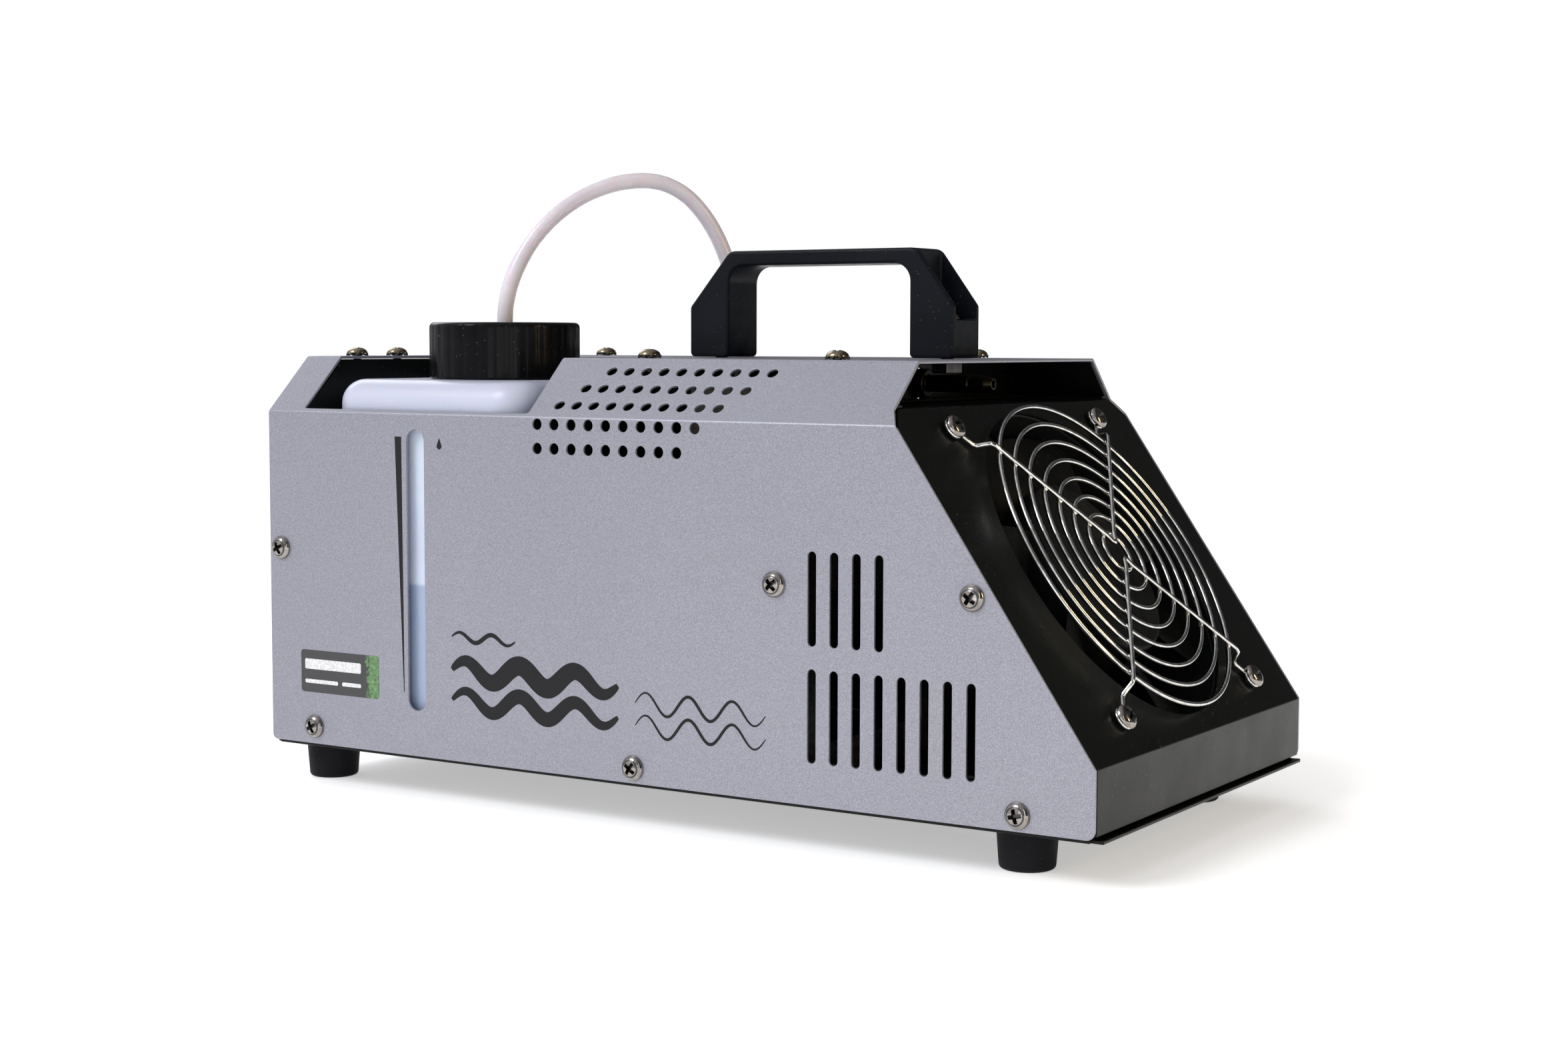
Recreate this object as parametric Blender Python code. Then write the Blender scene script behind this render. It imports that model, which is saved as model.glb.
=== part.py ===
"""Compact water-based fog machine, built as separate parts from folded sheet metal.

Frame: +X points to the slanted fan front, -Y is the side with the fluid window, +Z is up.
The origin is on the table under the middle of the machine.  All lengths are in metres.
"""

import math

import bmesh
import bpy
from mathutils import Matrix, Vector

# ---------------------------------------------------------------- driving dimensions
HALF_WIDTH = 0.08425  # outside of the cover's side walls
TOP_HALF_WIDTH = 0.06365  # flat top, between the two chamfers
REAR_X = -0.1625
FRONT_X = 0.1663  # face of the short upright lip under the fan
COVER_BOTTOM = 0.015
BEND_Z = 0.1348  # side wall meets chamfer
TOP_Z = 0.1545
LIP_TOP_Z = 0.036
PANEL_TOP_X, PANEL_TOP_Z = 0.0951, 0.1398  # upper edge of the slanted fan panel
COVER_SHEET = 0.0010
PANEL_SHEET = 0.0012
GAP = 0.0003  # clearance between touching parts
TRAY_Z = 0.0138  # underside of the bottom tray
TRAY_FRONT_X = 0.1680
INSIDE_HALF_WIDTH = HALF_WIDTH - COVER_SHEET - 0.00035  # sheets that line the cover

FAN_ALONG_SLANT = 0.0645  # fan centre, measured up the slanted panel from its lower bend
FAN_HOLE_RADIUS = 0.0575
FAN_HOLE_PITCH = 0.0525  # half the spacing of the four fan screws
FAN_SIZE, FAN_DEPTH = 0.1190, 0.0254

CUTOUT_X = (-0.1460, -0.0440)  # opening the fluid bottle is lifted through
CUTOUT_Y_MAX = 0.01075
CUTOUT_LOWER_RIM = 0.0018  # strip of chamfer left above the bend
BOTTLE_LOW = Vector((-0.1375, -0.0810, 0.0176))
BOTTLE_HIGH = Vector((-0.0480, 0.0080, 0.1465))
BOTTLE_WALL = 0.0018
FLUID_TOP_Z = 0.0750
CAP_CENTRE = Vector((-0.0903, -0.0380, 0.0))
CAP_RADIUS, CAP_LOW_Z, CAP_TOP_Z = 0.0270, 0.1483, 0.1655
NECK_RADIUS, NECK_BORE, NECK_TOP_Z = 0.0220, 0.0195, 0.1624

HOSE_RADIUS = 0.0025
HOSE_HOLE = 0.0031  # hole in the cap that the hose runs through
GROMMET_CENTRE = Vector((-0.0385, 0.0365, TOP_Z))

HANDLE_X = (-0.0287, 0.0777)
HANDLE_HALF_WIDTH = 0.00985
HANDLE_TOP_Z = 0.1920
HANDLE_BOLT_X = (-0.0215, 0.0705)
HANDLE_BOLT_HOLE = 0.0029
POCKET_FLOOR_Z = 0.1675

BACK_WALL_X = 0.0600  # back wall of the fog outlet recess
NOZZLE_Z, NOZZLE_TIP_X, NOZZLE_RADIUS, NOZZLE_COLLAR = 0.1462, 0.0883, 0.0029, 0.0050
BULKHEAD_X, SHELF_Z, SHELF_REAR_X = 0.0490, 0.0960, -0.0320

SCREW_HEAD, SCREW_HEAD_HEIGHT, SCREW_SHANK, SCREW_HOLE = 0.00375, 0.0024, 0.0016, 0.0021
SIDE_SCREWS = ((-0.1569, 0.0853), (0.0001, 0.0202), (0.1253, 0.0840))
PLAIN_SIDE_HOLES = ((-0.1416, 0.0213), (0.1411, 0.0200), (0.0550, 0.0841))
TOP_SCREW_HOLES = (
    (-0.1525, -0.048), (-0.1525, -0.026), (-0.1525, 0.0255), (-0.1525, 0.048),
    (-0.1155, 0.057), (-0.0160, -0.052), (0.0615, -0.057), (0.0520, 0.057),
)

SLOT_WIDTH, SLOT_PITCH, FIRST_SLOT_X = 0.0030, 0.00803, 0.06895
LOW_SLOTS, HIGH_SLOTS = (8, 0.0285, 0.0582), (4, 0.0654, 0.0952)  # count, bottom, top
WINDOW_X, WINDOW_WIDTH, WINDOW_Z = -0.0930, 0.0078, (0.0312, 0.1295)
VENT_RADIUS, VENT_PITCH = 0.00175, 0.0071

FOOT_X, FOOT_Y = (-0.1505, 0.1350), 0.0650
FOOT_RADIUS, FOOT_TIP_RADIUS, FOOT_HEIGHT = 0.00975, 0.00875, 0.0135

INLET_CENTRE = (0.0340, 0.0400)  # y, z of the mains inlet on the rear panel
ROCKER_CENTRE = (0.0660, 0.0400)
ROCKER_PIVOT_X, ROCKER_TILT = -0.1615, math.radians(8)
DATA_IN_CENTRE, DATA_OUT_CENTRE = (0.0300, 0.0820), (0.0640, 0.0820)
DISPLAY_CENTRE, DISPLAY_SIZE = (0.0340, 0.1200), (0.0380, 0.0200)
BUTTON_CENTRES = ((0.0620, 0.1265), (0.0740, 0.1265), (0.0620, 0.1140), (0.0740, 0.1140))
BUTTON_RADIUS, BUTTON_HOLE = 0.0032, 0.0036

# ---------------------------------------------------------------- derived places
SLANT_LENGTH = math.hypot(FRONT_X - PANEL_TOP_X, PANEL_TOP_Z - LIP_TOP_Z)
UP_SLANT = Vector((PANEL_TOP_X - FRONT_X, 0.0, PANEL_TOP_Z - LIP_TOP_Z)) / SLANT_LENGTH
PANEL_NORMAL = Vector((UP_SLANT.z, 0.0, -UP_SLANT.x))
FAN_CENTRE = Vector((FRONT_X, 0.0, LIP_TOP_Z)) + UP_SLANT * FAN_ALONG_SLANT
# Local frame of everything on the fan: +Z out of the panel, +X down the slope.
FAN_PLACE = Matrix.Translation(FAN_CENTRE) @ Matrix.Rotation(
    math.atan2(PANEL_NORMAL.x, PANEL_NORMAL.z), 4, "Y")
REAR_FACE_X = REAR_X + GAP  # outer face of the rear panel

# ---------------------------------------------------------------- scene, materials
for old in list(bpy.data.objects):
    bpy.data.objects.remove(old, do_unlink=True)

PARTS = bpy.data.collections.new("fog_machine")
CUTTERS = bpy.data.collections.new("cutters")
for collection in (PARTS, CUTTERS):
    bpy.context.scene.collection.children.link(collection)


def make_material(name, colour, roughness, metallic=0.0):
    material = bpy.data.materials.new(name)
    material.use_nodes = True
    shader = material.node_tree.nodes["Principled BSDF"]
    shader.inputs["Base Color"].default_value = (*colour, 1.0)
    shader.inputs["Roughness"].default_value = roughness
    shader.inputs["Metallic"].default_value = metallic
    material.diffuse_color = (*colour, 1.0)
    return material


SILVER = make_material("silver_paint", (0.45, 0.45, 0.50), 0.45, 0.5)
BLACK_SHEET = make_material("black_paint", (0.02, 0.02, 0.02), 0.45, 0.2)
CHROME = make_material("nickel_steel", (0.60, 0.58, 0.55), 0.15, 1.0)
STEEL = make_material("zinc_steel", (0.50, 0.50, 0.50), 0.35, 1.0)
BLACK_PLASTIC = make_material("black_plastic", (0.02, 0.02, 0.03), 0.5)
GLOSS_BLACK = make_material("gloss_black_plastic", (0.01, 0.01, 0.01), 0.2)
RUBBER = make_material("black_rubber", (0.02, 0.02, 0.02), 0.8)
MILKY = make_material("milky_plastic", (0.80, 0.83, 0.88), 0.4)
FLUID = make_material("fog_fluid", (0.45, 0.55, 0.66), 0.1)
ALUMINIUM = make_material("cast_aluminium", (0.55, 0.55, 0.56), 0.45, 1.0)
BRASS = make_material("brass", (0.55, 0.42, 0.18), 0.35, 1.0)
INSULATION = make_material("glass_wool", (0.75, 0.72, 0.62), 0.95)
BOARD = make_material("circuit_board", (0.02, 0.16, 0.06), 0.5)
SMOKED = make_material("smoked_window", (0.03, 0.01, 0.01), 0.1)
RED_PLASTIC = make_material("red_plastic", (0.50, 0.02, 0.02), 0.35)


# ---------------------------------------------------------------- modelling helpers
def add_part(name, bm, material, place=None, smooth_degrees=35):
    """A sub-part from a bmesh, with its faces pointing out and its round faces smooth."""
    bmesh.ops.recalc_face_normals(bm, faces=bm.faces)
    mesh = bpy.data.meshes.new(name)
    bm.to_mesh(mesh)
    bm.free()
    mesh.materials.append(material)
    mesh.shade_smooth()
    mesh.set_sharp_from_angle(angle=math.radians(smooth_degrees))
    part = bpy.data.objects.new(name, mesh)
    PARTS.objects.link(part)
    if place is not None:
        part.matrix_world = place
    return part


def boolean(part, bm, operation):
    """Cut a bmesh from a part, or join it on.  The bmesh is in the part's own frame."""
    bmesh.ops.recalc_face_normals(bm, faces=bm.faces)
    mesh = bpy.data.meshes.new(part.name + "_tool")
    bm.to_mesh(mesh)
    bm.free()
    tool = bpy.data.objects.new(part.name + "_tool", mesh)
    CUTTERS.objects.link(tool)
    tool.matrix_world = part.matrix_world.copy()
    tool.hide_render = True
    tool.display_type = "WIRE"
    modifier = part.modifiers.new(operation.lower(), "BOOLEAN")
    modifier.operation = operation
    modifier.solver = "EXACT"
    modifier.object = tool


def cut(part, bm):
    boolean(part, bm, "DIFFERENCE")


def join(part, bm):
    boolean(part, bm, "UNION")


def add_box(bm, low, high):
    low, high = Vector(low), Vector(high)
    size = high - low
    matrix = Matrix.Translation((low + high) / 2) @ Matrix.Diagonal((*size, 1.0))
    return bmesh.ops.create_cube(bm, size=1.0, matrix=matrix)["verts"]


def add_rod(bm, start, end, radius, end_radius=None, segments=16):
    """A solid cylinder or cone from one point to another."""
    start, end = Vector(start), Vector(end)
    along = end - start
    turn = along.to_track_quat("Z", "Y").to_matrix().to_4x4()
    bmesh.ops.create_cone(
        bm, cap_ends=True, cap_tris=False, segments=segments, radius1=radius,
        radius2=radius if end_radius is None else end_radius, depth=along.length,
        matrix=Matrix.Translation((start + end) / 2) @ turn)


def add_turned(bm, profile, place=None, segments=16, closed=False):
    """A profile of (radius, height) points turned about +Z, then moved to its place."""
    verts = [bm.verts.new((radius, 0.0, height)) for radius, height in profile]
    pairs = list(zip(verts, verts[1:])) + ([(verts[-1], verts[0])] if closed else [])
    edges = [bm.edges.new(pair) for pair in pairs]
    before = set(bm.verts) - set(verts)
    bmesh.ops.spin(bm, geom=verts + edges, cent=(0, 0, 0), axis=(0, 0, 1),
                   angle=math.tau, steps=segments, use_merge=True)
    made = [vert for vert in bm.verts if vert not in before]
    bmesh.ops.remove_doubles(bm, verts=made, dist=1e-6)
    if place is not None:
        made = [vert for vert in bm.verts if vert not in before]
        bmesh.ops.transform(bm, matrix=place, verts=made)


def circle(centre, radius, count=6, turn=0.0):
    """Corners of a round hole, the first at turn steps from the first axis."""
    angles = [math.tau * (i + turn) / count for i in range(count)]
    return [(centre[0] + radius * math.cos(a), centre[1] + radius * math.sin(a)) for a in angles]


def slot(low, high, width, across=False, count=3):
    """A round-ended slot from low to high along the first axis, or across it."""
    (low_u, low_v), (high_u, high_v) = low, high
    along = math.pi / 2 if across else 0.0
    inset = Vector((math.cos(along), math.sin(along))) * width / 2
    points = []
    for end, start in ((Vector((high_u, high_v)) - inset, along - math.pi / 2),
                       (Vector((low_u, low_v)) + inset, along + math.pi / 2)):
        for i in range(count + 1):
            angle = start + math.pi * i / count
            points.append((end.x + width / 2 * math.cos(angle),
                           end.y + width / 2 * math.sin(angle)))
    return points


def rectangle(low, high):
    return [(low[0], low[1]), (high[0], low[1]), (high[0], high[1]), (low[0], high[1])]


def flat_plate(outline, holes, thickness):
    """A flat plate in the XY plane with real holes, as a closed bmesh centred on z = 0."""
    curve = bpy.data.curves.new("outline", "CURVE")
    curve.dimensions = "2D"
    curve.fill_mode = "BOTH"
    curve.extrude = thickness / 2
    for loop in [outline, *holes]:
        spline = curve.splines.new("POLY")
        spline.points.add(len(loop) - 1)
        for point, (u, v) in zip(spline.points, loop):
            point.co = (u, v, 0.0, 1.0)
        spline.use_cyclic_u = True
    guide = bpy.data.objects.new("outline", curve)
    CUTTERS.objects.link(guide)
    graph = bpy.context.evaluated_depsgraph_get()
    mesh = bpy.data.meshes.new_from_object(guide.evaluated_get(graph))
    bm = bmesh.new()
    bm.from_mesh(mesh)
    bmesh.ops.remove_doubles(bm, verts=bm.verts, dist=1e-6)
    bpy.data.meshes.remove(mesh)
    bpy.data.objects.remove(guide, do_unlink=True)
    bpy.data.curves.remove(curve)
    return bm


def is_inside(point, loops):
    """Whether a flat point is on the sheet: inside its outline and in none of its holes."""
    crossings = 0
    for loop in loops:
        for (s0, q0), (s1, q1) in zip(loop, loop[1:] + loop[:1]):
            if (q0 > point[1]) != (q1 > point[1]):
                crossings += point[0] < s0 + (s1 - s0) * (point[1] - q0) / (q1 - q0)
    return crossings % 2 == 1


NEAR = 2e-6  # flat points closer than this are the same
NUDGE = 1e-5


def split_at_bends(bm, loops, bends, side_bends):
    """Cut the flat outlines at the bend lines, and draw the bends across the sheet."""
    for axis, values in ((0, bends), (1, side_bends)):
        for value in values:
            point, normal = [0, 0, 0], [0, 0, 0]
            point[axis], normal[axis] = value, 1
            bmesh.ops.bisect_plane(bm, geom=bm.verts[:] + bm.edges[:], dist=1e-7,
                                   plane_co=point, plane_no=normal)
            on_line = [v for v in bm.verts if abs(v.co[axis] - value) < NEAR]
            on_line.sort(key=lambda v: v.co[1 - axis])
            for a, b in zip(on_line, on_line[1:]):
                if bm.edges.get((a, b)) is None and is_inside((a.co + b.co) / 2, loops):
                    bm.edges.new((a, b))


def facet_edges(bm, loops, low, high):
    """Edges that bound one flat facet between two corners (s, q)."""
    chosen = []
    for edge in bm.edges:
        ends = [vert.co for vert in edge.verts]
        if any(end[k] < low[k] - NEAR or end[k] > high[k] + NEAR for end in ends for k in (0, 1)):
            continue
        middle = (ends[0] + ends[1]) / 2
        bordering = False
        for k in (0, 1):
            for limit, direction in ((low[k], 1), (high[k], -1)):
                if all(abs(end[k] - limit) < NEAR for end in ends):
                    bordering = True
                    middle[k] += direction * NUDGE
        if not bordering or is_inside(middle, loops):
            chosen.append(edge)
    return chosen


def folded_sheet(outline, holes, thickness, profile, place, inward, side_bend=None):
    """A sheet cut to a flat outline with holes and folded, as a press brake does it.

    The flat sheet's s runs along the profile of outer-surface points (a, b), and its q is
    the distance across.  inward is +1 where the sheet lies to the left of the profile and
    -1 where it lies to the right.  Past side_bend the sheet folds inwards too, as flanges.
    place turns (a, b, q) into a point.
    """
    profile = [Vector(point) for point in profile]
    steps = [b - a for a, b in zip(profile, profile[1:])]
    normals = [Vector((-step.y, step.x)).normalized() * inward for step in steps]
    distances = [0.0]
    for step in steps:
        distances.append(distances[-1] + step.length)
    loops = [list(outline), *holes]
    bm = bmesh.new()
    for loop in loops:
        verts = [bm.verts.new((s, q, 0.0)) for s, q in loop]
        for a, b in zip(verts, verts[1:] + verts[:1]):
            bm.edges.new((a, b))
    side_bends = (-side_bend, side_bend) if side_bend else ()
    split_at_bends(bm, loops, distances[1:-1], side_bends)
    across = (-1.0, *side_bends, 1.0)
    for s_low, s_high in zip([-1.0] + distances[1:-1], distances[1:-1] + [1.0]):
        for q_low, q_high in zip(across, across[1:]):
            edges = facet_edges(bm, loops, (s_low, q_low), (s_high, q_high))
            if edges:
                bmesh.ops.triangle_fill(bm, edges=edges, use_beauty=True)
    outer = set(bm.verts)
    bmesh.ops.extrude_face_region(bm, geom=bm.faces[:], use_keep_orig=True)
    for vert in bm.verts:
        s, q, depth = vert.co.x, vert.co.y, 0.0 if vert in outer else thickness
        index = max(i for i in range(len(steps)) if i == 0 or s > distances[i] + NEAR)
        base = profile[index] + steps[index].normalized() * (s - distances[index])
        offset = normals[index].copy()
        if index + 1 < len(steps) and abs(s - distances[index + 1]) <= NEAR:
            after = normals[index + 1]
            offset = (offset + after) / (1.0 + offset.dot(after))
        over = abs(q) - side_bend if side_bend else -1.0
        if over > NEAR:  # on a flange: its thickness runs across, not along the normal
            base = base + normals[index] * over
            q, offset = math.copysign(side_bend - depth, q), Vector((0.0, 0.0))
        elif abs(over) <= NEAR and has_flange(vert, side_bend):
            q = math.copysign(side_bend - depth, q)
        vert.co = place(*(base + offset * depth), q)
    return bm


def has_flange(vert, side_bend):
    """Whether a point on a side bend line has a flange beyond it."""
    return any(abs(edge.other_vert(vert).co.y) > side_bend + NEAR for edge in vert.link_edges)


def along_x(a, b, q):
    """Section in the YZ plane, swept along X."""
    return (q, a, b)


def across_y(a, b, q):
    """Section in the XZ plane, swept along Y."""
    return (a, q, b)


def upright(a, b, q):
    """Section in the XY plane, swept along Z."""
    return (a, b, q)


def smooth_route(points, spacing):
    """Points read every spacing or so from a smooth curve through the given points."""
    points = [Vector(point) for point in points]
    padded = [points[0] * 2 - points[1], *points, points[-1] * 2 - points[-2]]
    route = []
    for before, start, end, after in zip(padded, padded[1:], padded[2:], padded[3:]):
        count = max(1, round((end - start).length / spacing))
        for i in range(count):
            t = i / count
            route.append(0.5 * (
                2 * start + (end - before) * t
                + (2 * before - 5 * start + 4 * end - after) * t ** 2
                + (3 * start - before - 3 * end + after) * t ** 3))
    return route + [points[-1]]


def add_tube(name, points, radius, material, resolution=2, closed=False, place=None):
    """A wire, pipe or hose: a bevelled curve with filled caps."""
    curve = bpy.data.curves.new(name, "CURVE")
    curve.dimensions = "3D"
    curve.bevel_depth = radius
    curve.bevel_resolution = resolution
    curve.use_fill_caps = not closed
    spline = curve.splines.new("POLY")
    spline.points.add(len(points) - 1)
    for point, co in zip(spline.points, points):
        point.co = (*co, 1.0)
    spline.use_cyclic_u = closed
    part = bpy.data.objects.new(name, curve)
    PARTS.objects.link(part)
    curve.materials.append(material)
    if place is not None:
        part.matrix_world = place
    return part


def mesh_from_curve(part):
    """The bmesh of a curve object, caps welded; the curve is removed."""
    graph = bpy.context.evaluated_depsgraph_get()
    mesh = bpy.data.meshes.new_from_object(part.evaluated_get(graph))
    bm = bmesh.new()
    bm.from_mesh(mesh)
    bmesh.ops.remove_doubles(bm, verts=bm.verts, dist=1e-6)
    bpy.data.meshes.remove(mesh)
    bpy.data.objects.remove(part, do_unlink=True)
    return bm


def facing(point, direction):
    """Place whose +Z points along a direction."""
    turn = Vector(direction).to_track_quat("Z", "Y").to_matrix().to_4x4()
    return Matrix.Translation(Vector(point)) @ turn


# ---------------------------------------------------------------- housing
def cover_profile():
    """Outer section of the cover in (y, z): near wall, chamfer, top, chamfer, far wall."""
    half = [(HALF_WIDTH, COVER_BOTTOM), (HALF_WIDTH, BEND_Z), (TOP_HALF_WIDTH, TOP_Z)]
    return [(-y, z) for y, z in half] + list(reversed(half))


SIDE_LENGTH = BEND_Z - COVER_BOTTOM
CHAMFER_LENGTH = math.hypot(HALF_WIDTH - TOP_HALF_WIDTH, TOP_Z - BEND_Z)
FLAT_WIDTH = 2 * (SIDE_LENGTH + CHAMFER_LENGTH + TOP_HALF_WIDTH)


def on_side(z):
    """Flat distance of a height on the near wall."""
    return z - COVER_BOTTOM


def on_top(y):
    """Flat distance of a place across the top."""
    return SIDE_LENGTH + CHAMFER_LENGTH + TOP_HALF_WIDTH + y


def on_both_walls(holes):
    """The near wall's holes and their mirror images on the far wall."""
    return holes + [[(FLAT_WIDTH - s, x) for s, x in hole] for hole in holes]


def vent_row(s, start, count):
    """One row; neighbours are turned half a step, so no three corners are in line."""
    return [circle((s, start + VENT_PITCH * i), VENT_RADIUS, turn=0.5 * (i % 2))
            for i in range(count)]


def vent_rows(rows):
    """Rows of perforations, each given as flat distance, first place along X and count."""
    return [hole for s, start, count in rows for hole in vent_row(s, start, count)]


WALL_VENTS = ((on_side(0.1244), -0.0393, 9), (on_side(0.1325), -0.0393, 10))
CHAMFER_VENTS = ((SIDE_LENGTH + 0.0060, -0.0330, 10), (SIDE_LENGTH + 0.0141, -0.0263, 10),
                 (SIDE_LENGTH + 0.0223, -0.0199, 10))


def make_cover():
    bend_x = FRONT_X + UP_SLANT.x * (BEND_Z - LIP_TOP_Z) / UP_SLANT.z
    step_s = SIDE_LENGTH + CHAMFER_LENGTH * (PANEL_TOP_Z - BEND_Z) / (TOP_Z - BEND_Z)
    corner = 0.003
    front = [(0.0, FRONT_X - corner), (corner * 0.3, FRONT_X - corner * 0.3), (corner, FRONT_X),
             (on_side(LIP_TOP_Z), FRONT_X), (SIDE_LENGTH, bend_x), (step_s, PANEL_TOP_X)]
    outline = front + [(FLAT_WIDTH - s, x) for s, x in reversed(front)]
    outline += [(FLAT_WIDTH, REAR_X), (0.0, REAR_X)]
    slots = [slot((on_side(low), FIRST_SLOT_X + SLOT_PITCH * i),
                  (on_side(high), FIRST_SLOT_X + SLOT_PITCH * i), SLOT_WIDTH)
             for count, low, high in (LOW_SLOTS, HIGH_SLOTS) for i in range(count)]
    screws = [circle((on_side(z), x), SCREW_HOLE) for x, z in SIDE_SCREWS + PLAIN_SIDE_HOLES]
    holes = on_both_walls(slots + screws + vent_rows(CHAMFER_VENTS)) + vent_rows(WALL_VENTS)
    first_top_vent = -0.0134
    holes += vent_row(on_top(-TOP_HALF_WIDTH + 0.0024), first_top_vent, 10)
    holes.append(slot((on_side(WINDOW_Z[0]), WINDOW_X), (on_side(WINDOW_Z[1]), WINDOW_X),
                      WINDOW_WIDTH, count=6))
    holes.append(rectangle((SIDE_LENGTH + CUTOUT_LOWER_RIM, CUTOUT_X[0]),
                           (on_top(CUTOUT_Y_MAX), CUTOUT_X[1])))
    holes += [circle((on_top(y), x), SCREW_HOLE) for x, y in TOP_SCREW_HOLES]
    holes += [circle((on_top(0.0), x), HANDLE_BOLT_HOLE) for x in HANDLE_BOLT_X]
    holes.append(circle((on_top(GROMMET_CENTRE.y), GROMMET_CENTRE.x), 0.0042, 12))
    plate = folded_sheet(outline, holes, COVER_SHEET, cover_profile(), along_x, -1)
    add_part("housing_cover", plate, SILVER, smooth_degrees=20)


def make_tray():
    """Bottom tray: a floor with a low flange up each side, and air slots under the fan."""
    flange = 0.0150
    width = INSIDE_HALF_WIDTH * 2
    total = width + 2 * flange
    # The floor alone reaches the rear panel and out under the front lip.
    inset = flange + PANEL_SHEET
    flange_rear, flange_front, floor_rear = -0.1600, 0.1640, REAR_X + 0.0004
    outline = [(0.0, flange_rear), (inset, flange_rear), (inset, floor_rear),
               (total - inset, floor_rear), (total - inset, flange_rear), (total, flange_rear),
               (total, flange_front), (total - inset, flange_front),
               (total - inset, TRAY_FRONT_X), (inset, TRAY_FRONT_X),
               (inset, flange_front), (0.0, flange_front)]
    middle = total / 2
    holes = [circle((middle + side * FOOT_Y, x), 0.0024) for side in (-1, 1) for x in FOOT_X]
    low_screws = [(x, z) for x, z in SIDE_SCREWS + PLAIN_SIDE_HOLES if z < 0.030]
    for x, z in low_screws:
        height = z - TRAY_Z
        holes += [circle((flange - height, x), SCREW_HOLE),
                  circle((total - flange + height, x), SCREW_HOLE)]
    slot_length = 0.045
    for i in range(3):
        for side in (-1, 1):
            s = middle + side * (0.012 + 0.014 * i)
            holes.append(slot((s, 0.080), (s, 0.080 + slot_length), 0.005, across=True))
    profile = [(-INSIDE_HALF_WIDTH, TRAY_Z + flange), (-INSIDE_HALF_WIDTH, TRAY_Z),
               (INSIDE_HALF_WIDTH, TRAY_Z), (INSIDE_HALF_WIDTH, TRAY_Z + flange)]
    plate = folded_sheet(outline, holes, PANEL_SHEET, profile, along_x, 1)
    add_part("base_tray", plate, BLACK_SHEET, smooth_degrees=20)


def make_front_panel():
    """Lip, slanted fan panel, recess floor and recess back wall, folded from one sheet."""
    lip_low = COVER_BOTTOM + 0.0010
    lip = LIP_TOP_Z - lip_low
    floor = PANEL_TOP_X - BACK_WALL_X
    wall = TOP_Z - COVER_SHEET - GAP - PANEL_TOP_Z
    slant_end = lip + SLANT_LENGTH
    wall_top = slant_end + floor + wall
    half = INSIDE_HALF_WIDTH
    narrow = half + 0.0004 - (PANEL_TOP_Z - BEND_Z) * 1.08 - 0.0012
    top_half = TOP_HALF_WIDTH - 0.0012
    shoulder = slant_end - 0.0072
    flange, flange_start, flange_end = 0.013, lip + 0.030, lip + 0.095
    edge = [(0.0, half), (flange_start, half), (flange_start, half + flange),
            (flange_end, half + flange), (flange_end, half), (shoulder, half),
            (slant_end, narrow), (slant_end + floor, narrow), (wall_top, top_half)]
    outline = edge + [(s, -q) for s, q in reversed(edge)]
    centre = lip + FAN_ALONG_SLANT
    holes = [circle((centre, 0.0), FAN_HOLE_RADIUS, 40)]
    holes += [circle((centre + u * FAN_HOLE_PITCH, v * FAN_HOLE_PITCH), SCREW_HOLE)
              for u in (-1, 1) for v in (-1, 1)]
    screw_x, screw_z = SIDE_SCREWS[2]
    screw = Vector((screw_x, 0.0, screw_z)) - Vector((FRONT_X, 0.0, LIP_TOP_Z))
    holes += [circle((lip + screw.dot(UP_SLANT), side * (half - screw.dot(PANEL_NORMAL))),
                     SCREW_HOLE) for side in (-1, 1)]
    wall_hole = slant_end + floor + NOZZLE_Z - PANEL_TOP_Z
    holes.append(circle((wall_hole, 0.0), NOZZLE_COLLAR + GAP, 12))
    profile = [(FRONT_X, lip_low), (FRONT_X, LIP_TOP_Z), (PANEL_TOP_X, PANEL_TOP_Z),
               (BACK_WALL_X, PANEL_TOP_Z), (BACK_WALL_X, PANEL_TOP_Z + wall)]
    plate = folded_sheet(outline, holes, PANEL_SHEET, profile, across_y, 1, side_bend=half)
    add_part("front_panel", plate, BLACK_SHEET, smooth_degrees=20)


def make_outlet_liner():
    """Black liner of the outlet recess: a floor strip with a cheek under each chamfer."""
    floor_z = PANEL_TOP_Z + GAP
    cheek_top = TOP_Z - COVER_SHEET - GAP
    slope = (HALF_WIDTH - TOP_HALF_WIDTH) / (TOP_Z - BEND_Z)
    foot_y = HALF_WIDTH - (floor_z - BEND_Z) * slope - 0.0019
    head_y = foot_y - (cheek_top - floor_z) * slope
    profile = [(-head_y, cheek_top), (-foot_y, floor_z), (foot_y, floor_z), (head_y, cheek_top)]
    cheek = math.hypot(foot_y - head_y, cheek_top - floor_z)
    x_low, x_high = BACK_WALL_X + GAP, PANEL_TOP_X - 0.0006
    strip = x_low + 0.006
    total = 2 * (cheek + foot_y)
    outline = [(0.0, x_low), (total, x_low), (total, x_high), (total - cheek - 0.004, x_high),
               (total - cheek - 0.004, strip), (cheek + 0.004, strip),
               (cheek + 0.004, x_high), (0.0, x_high)]
    thin = 0.0008
    plate = folded_sheet(outline, [], thin, profile, along_x, 1)
    add_part("outlet_liner", plate, BLACK_SHEET, smooth_degrees=20)


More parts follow.
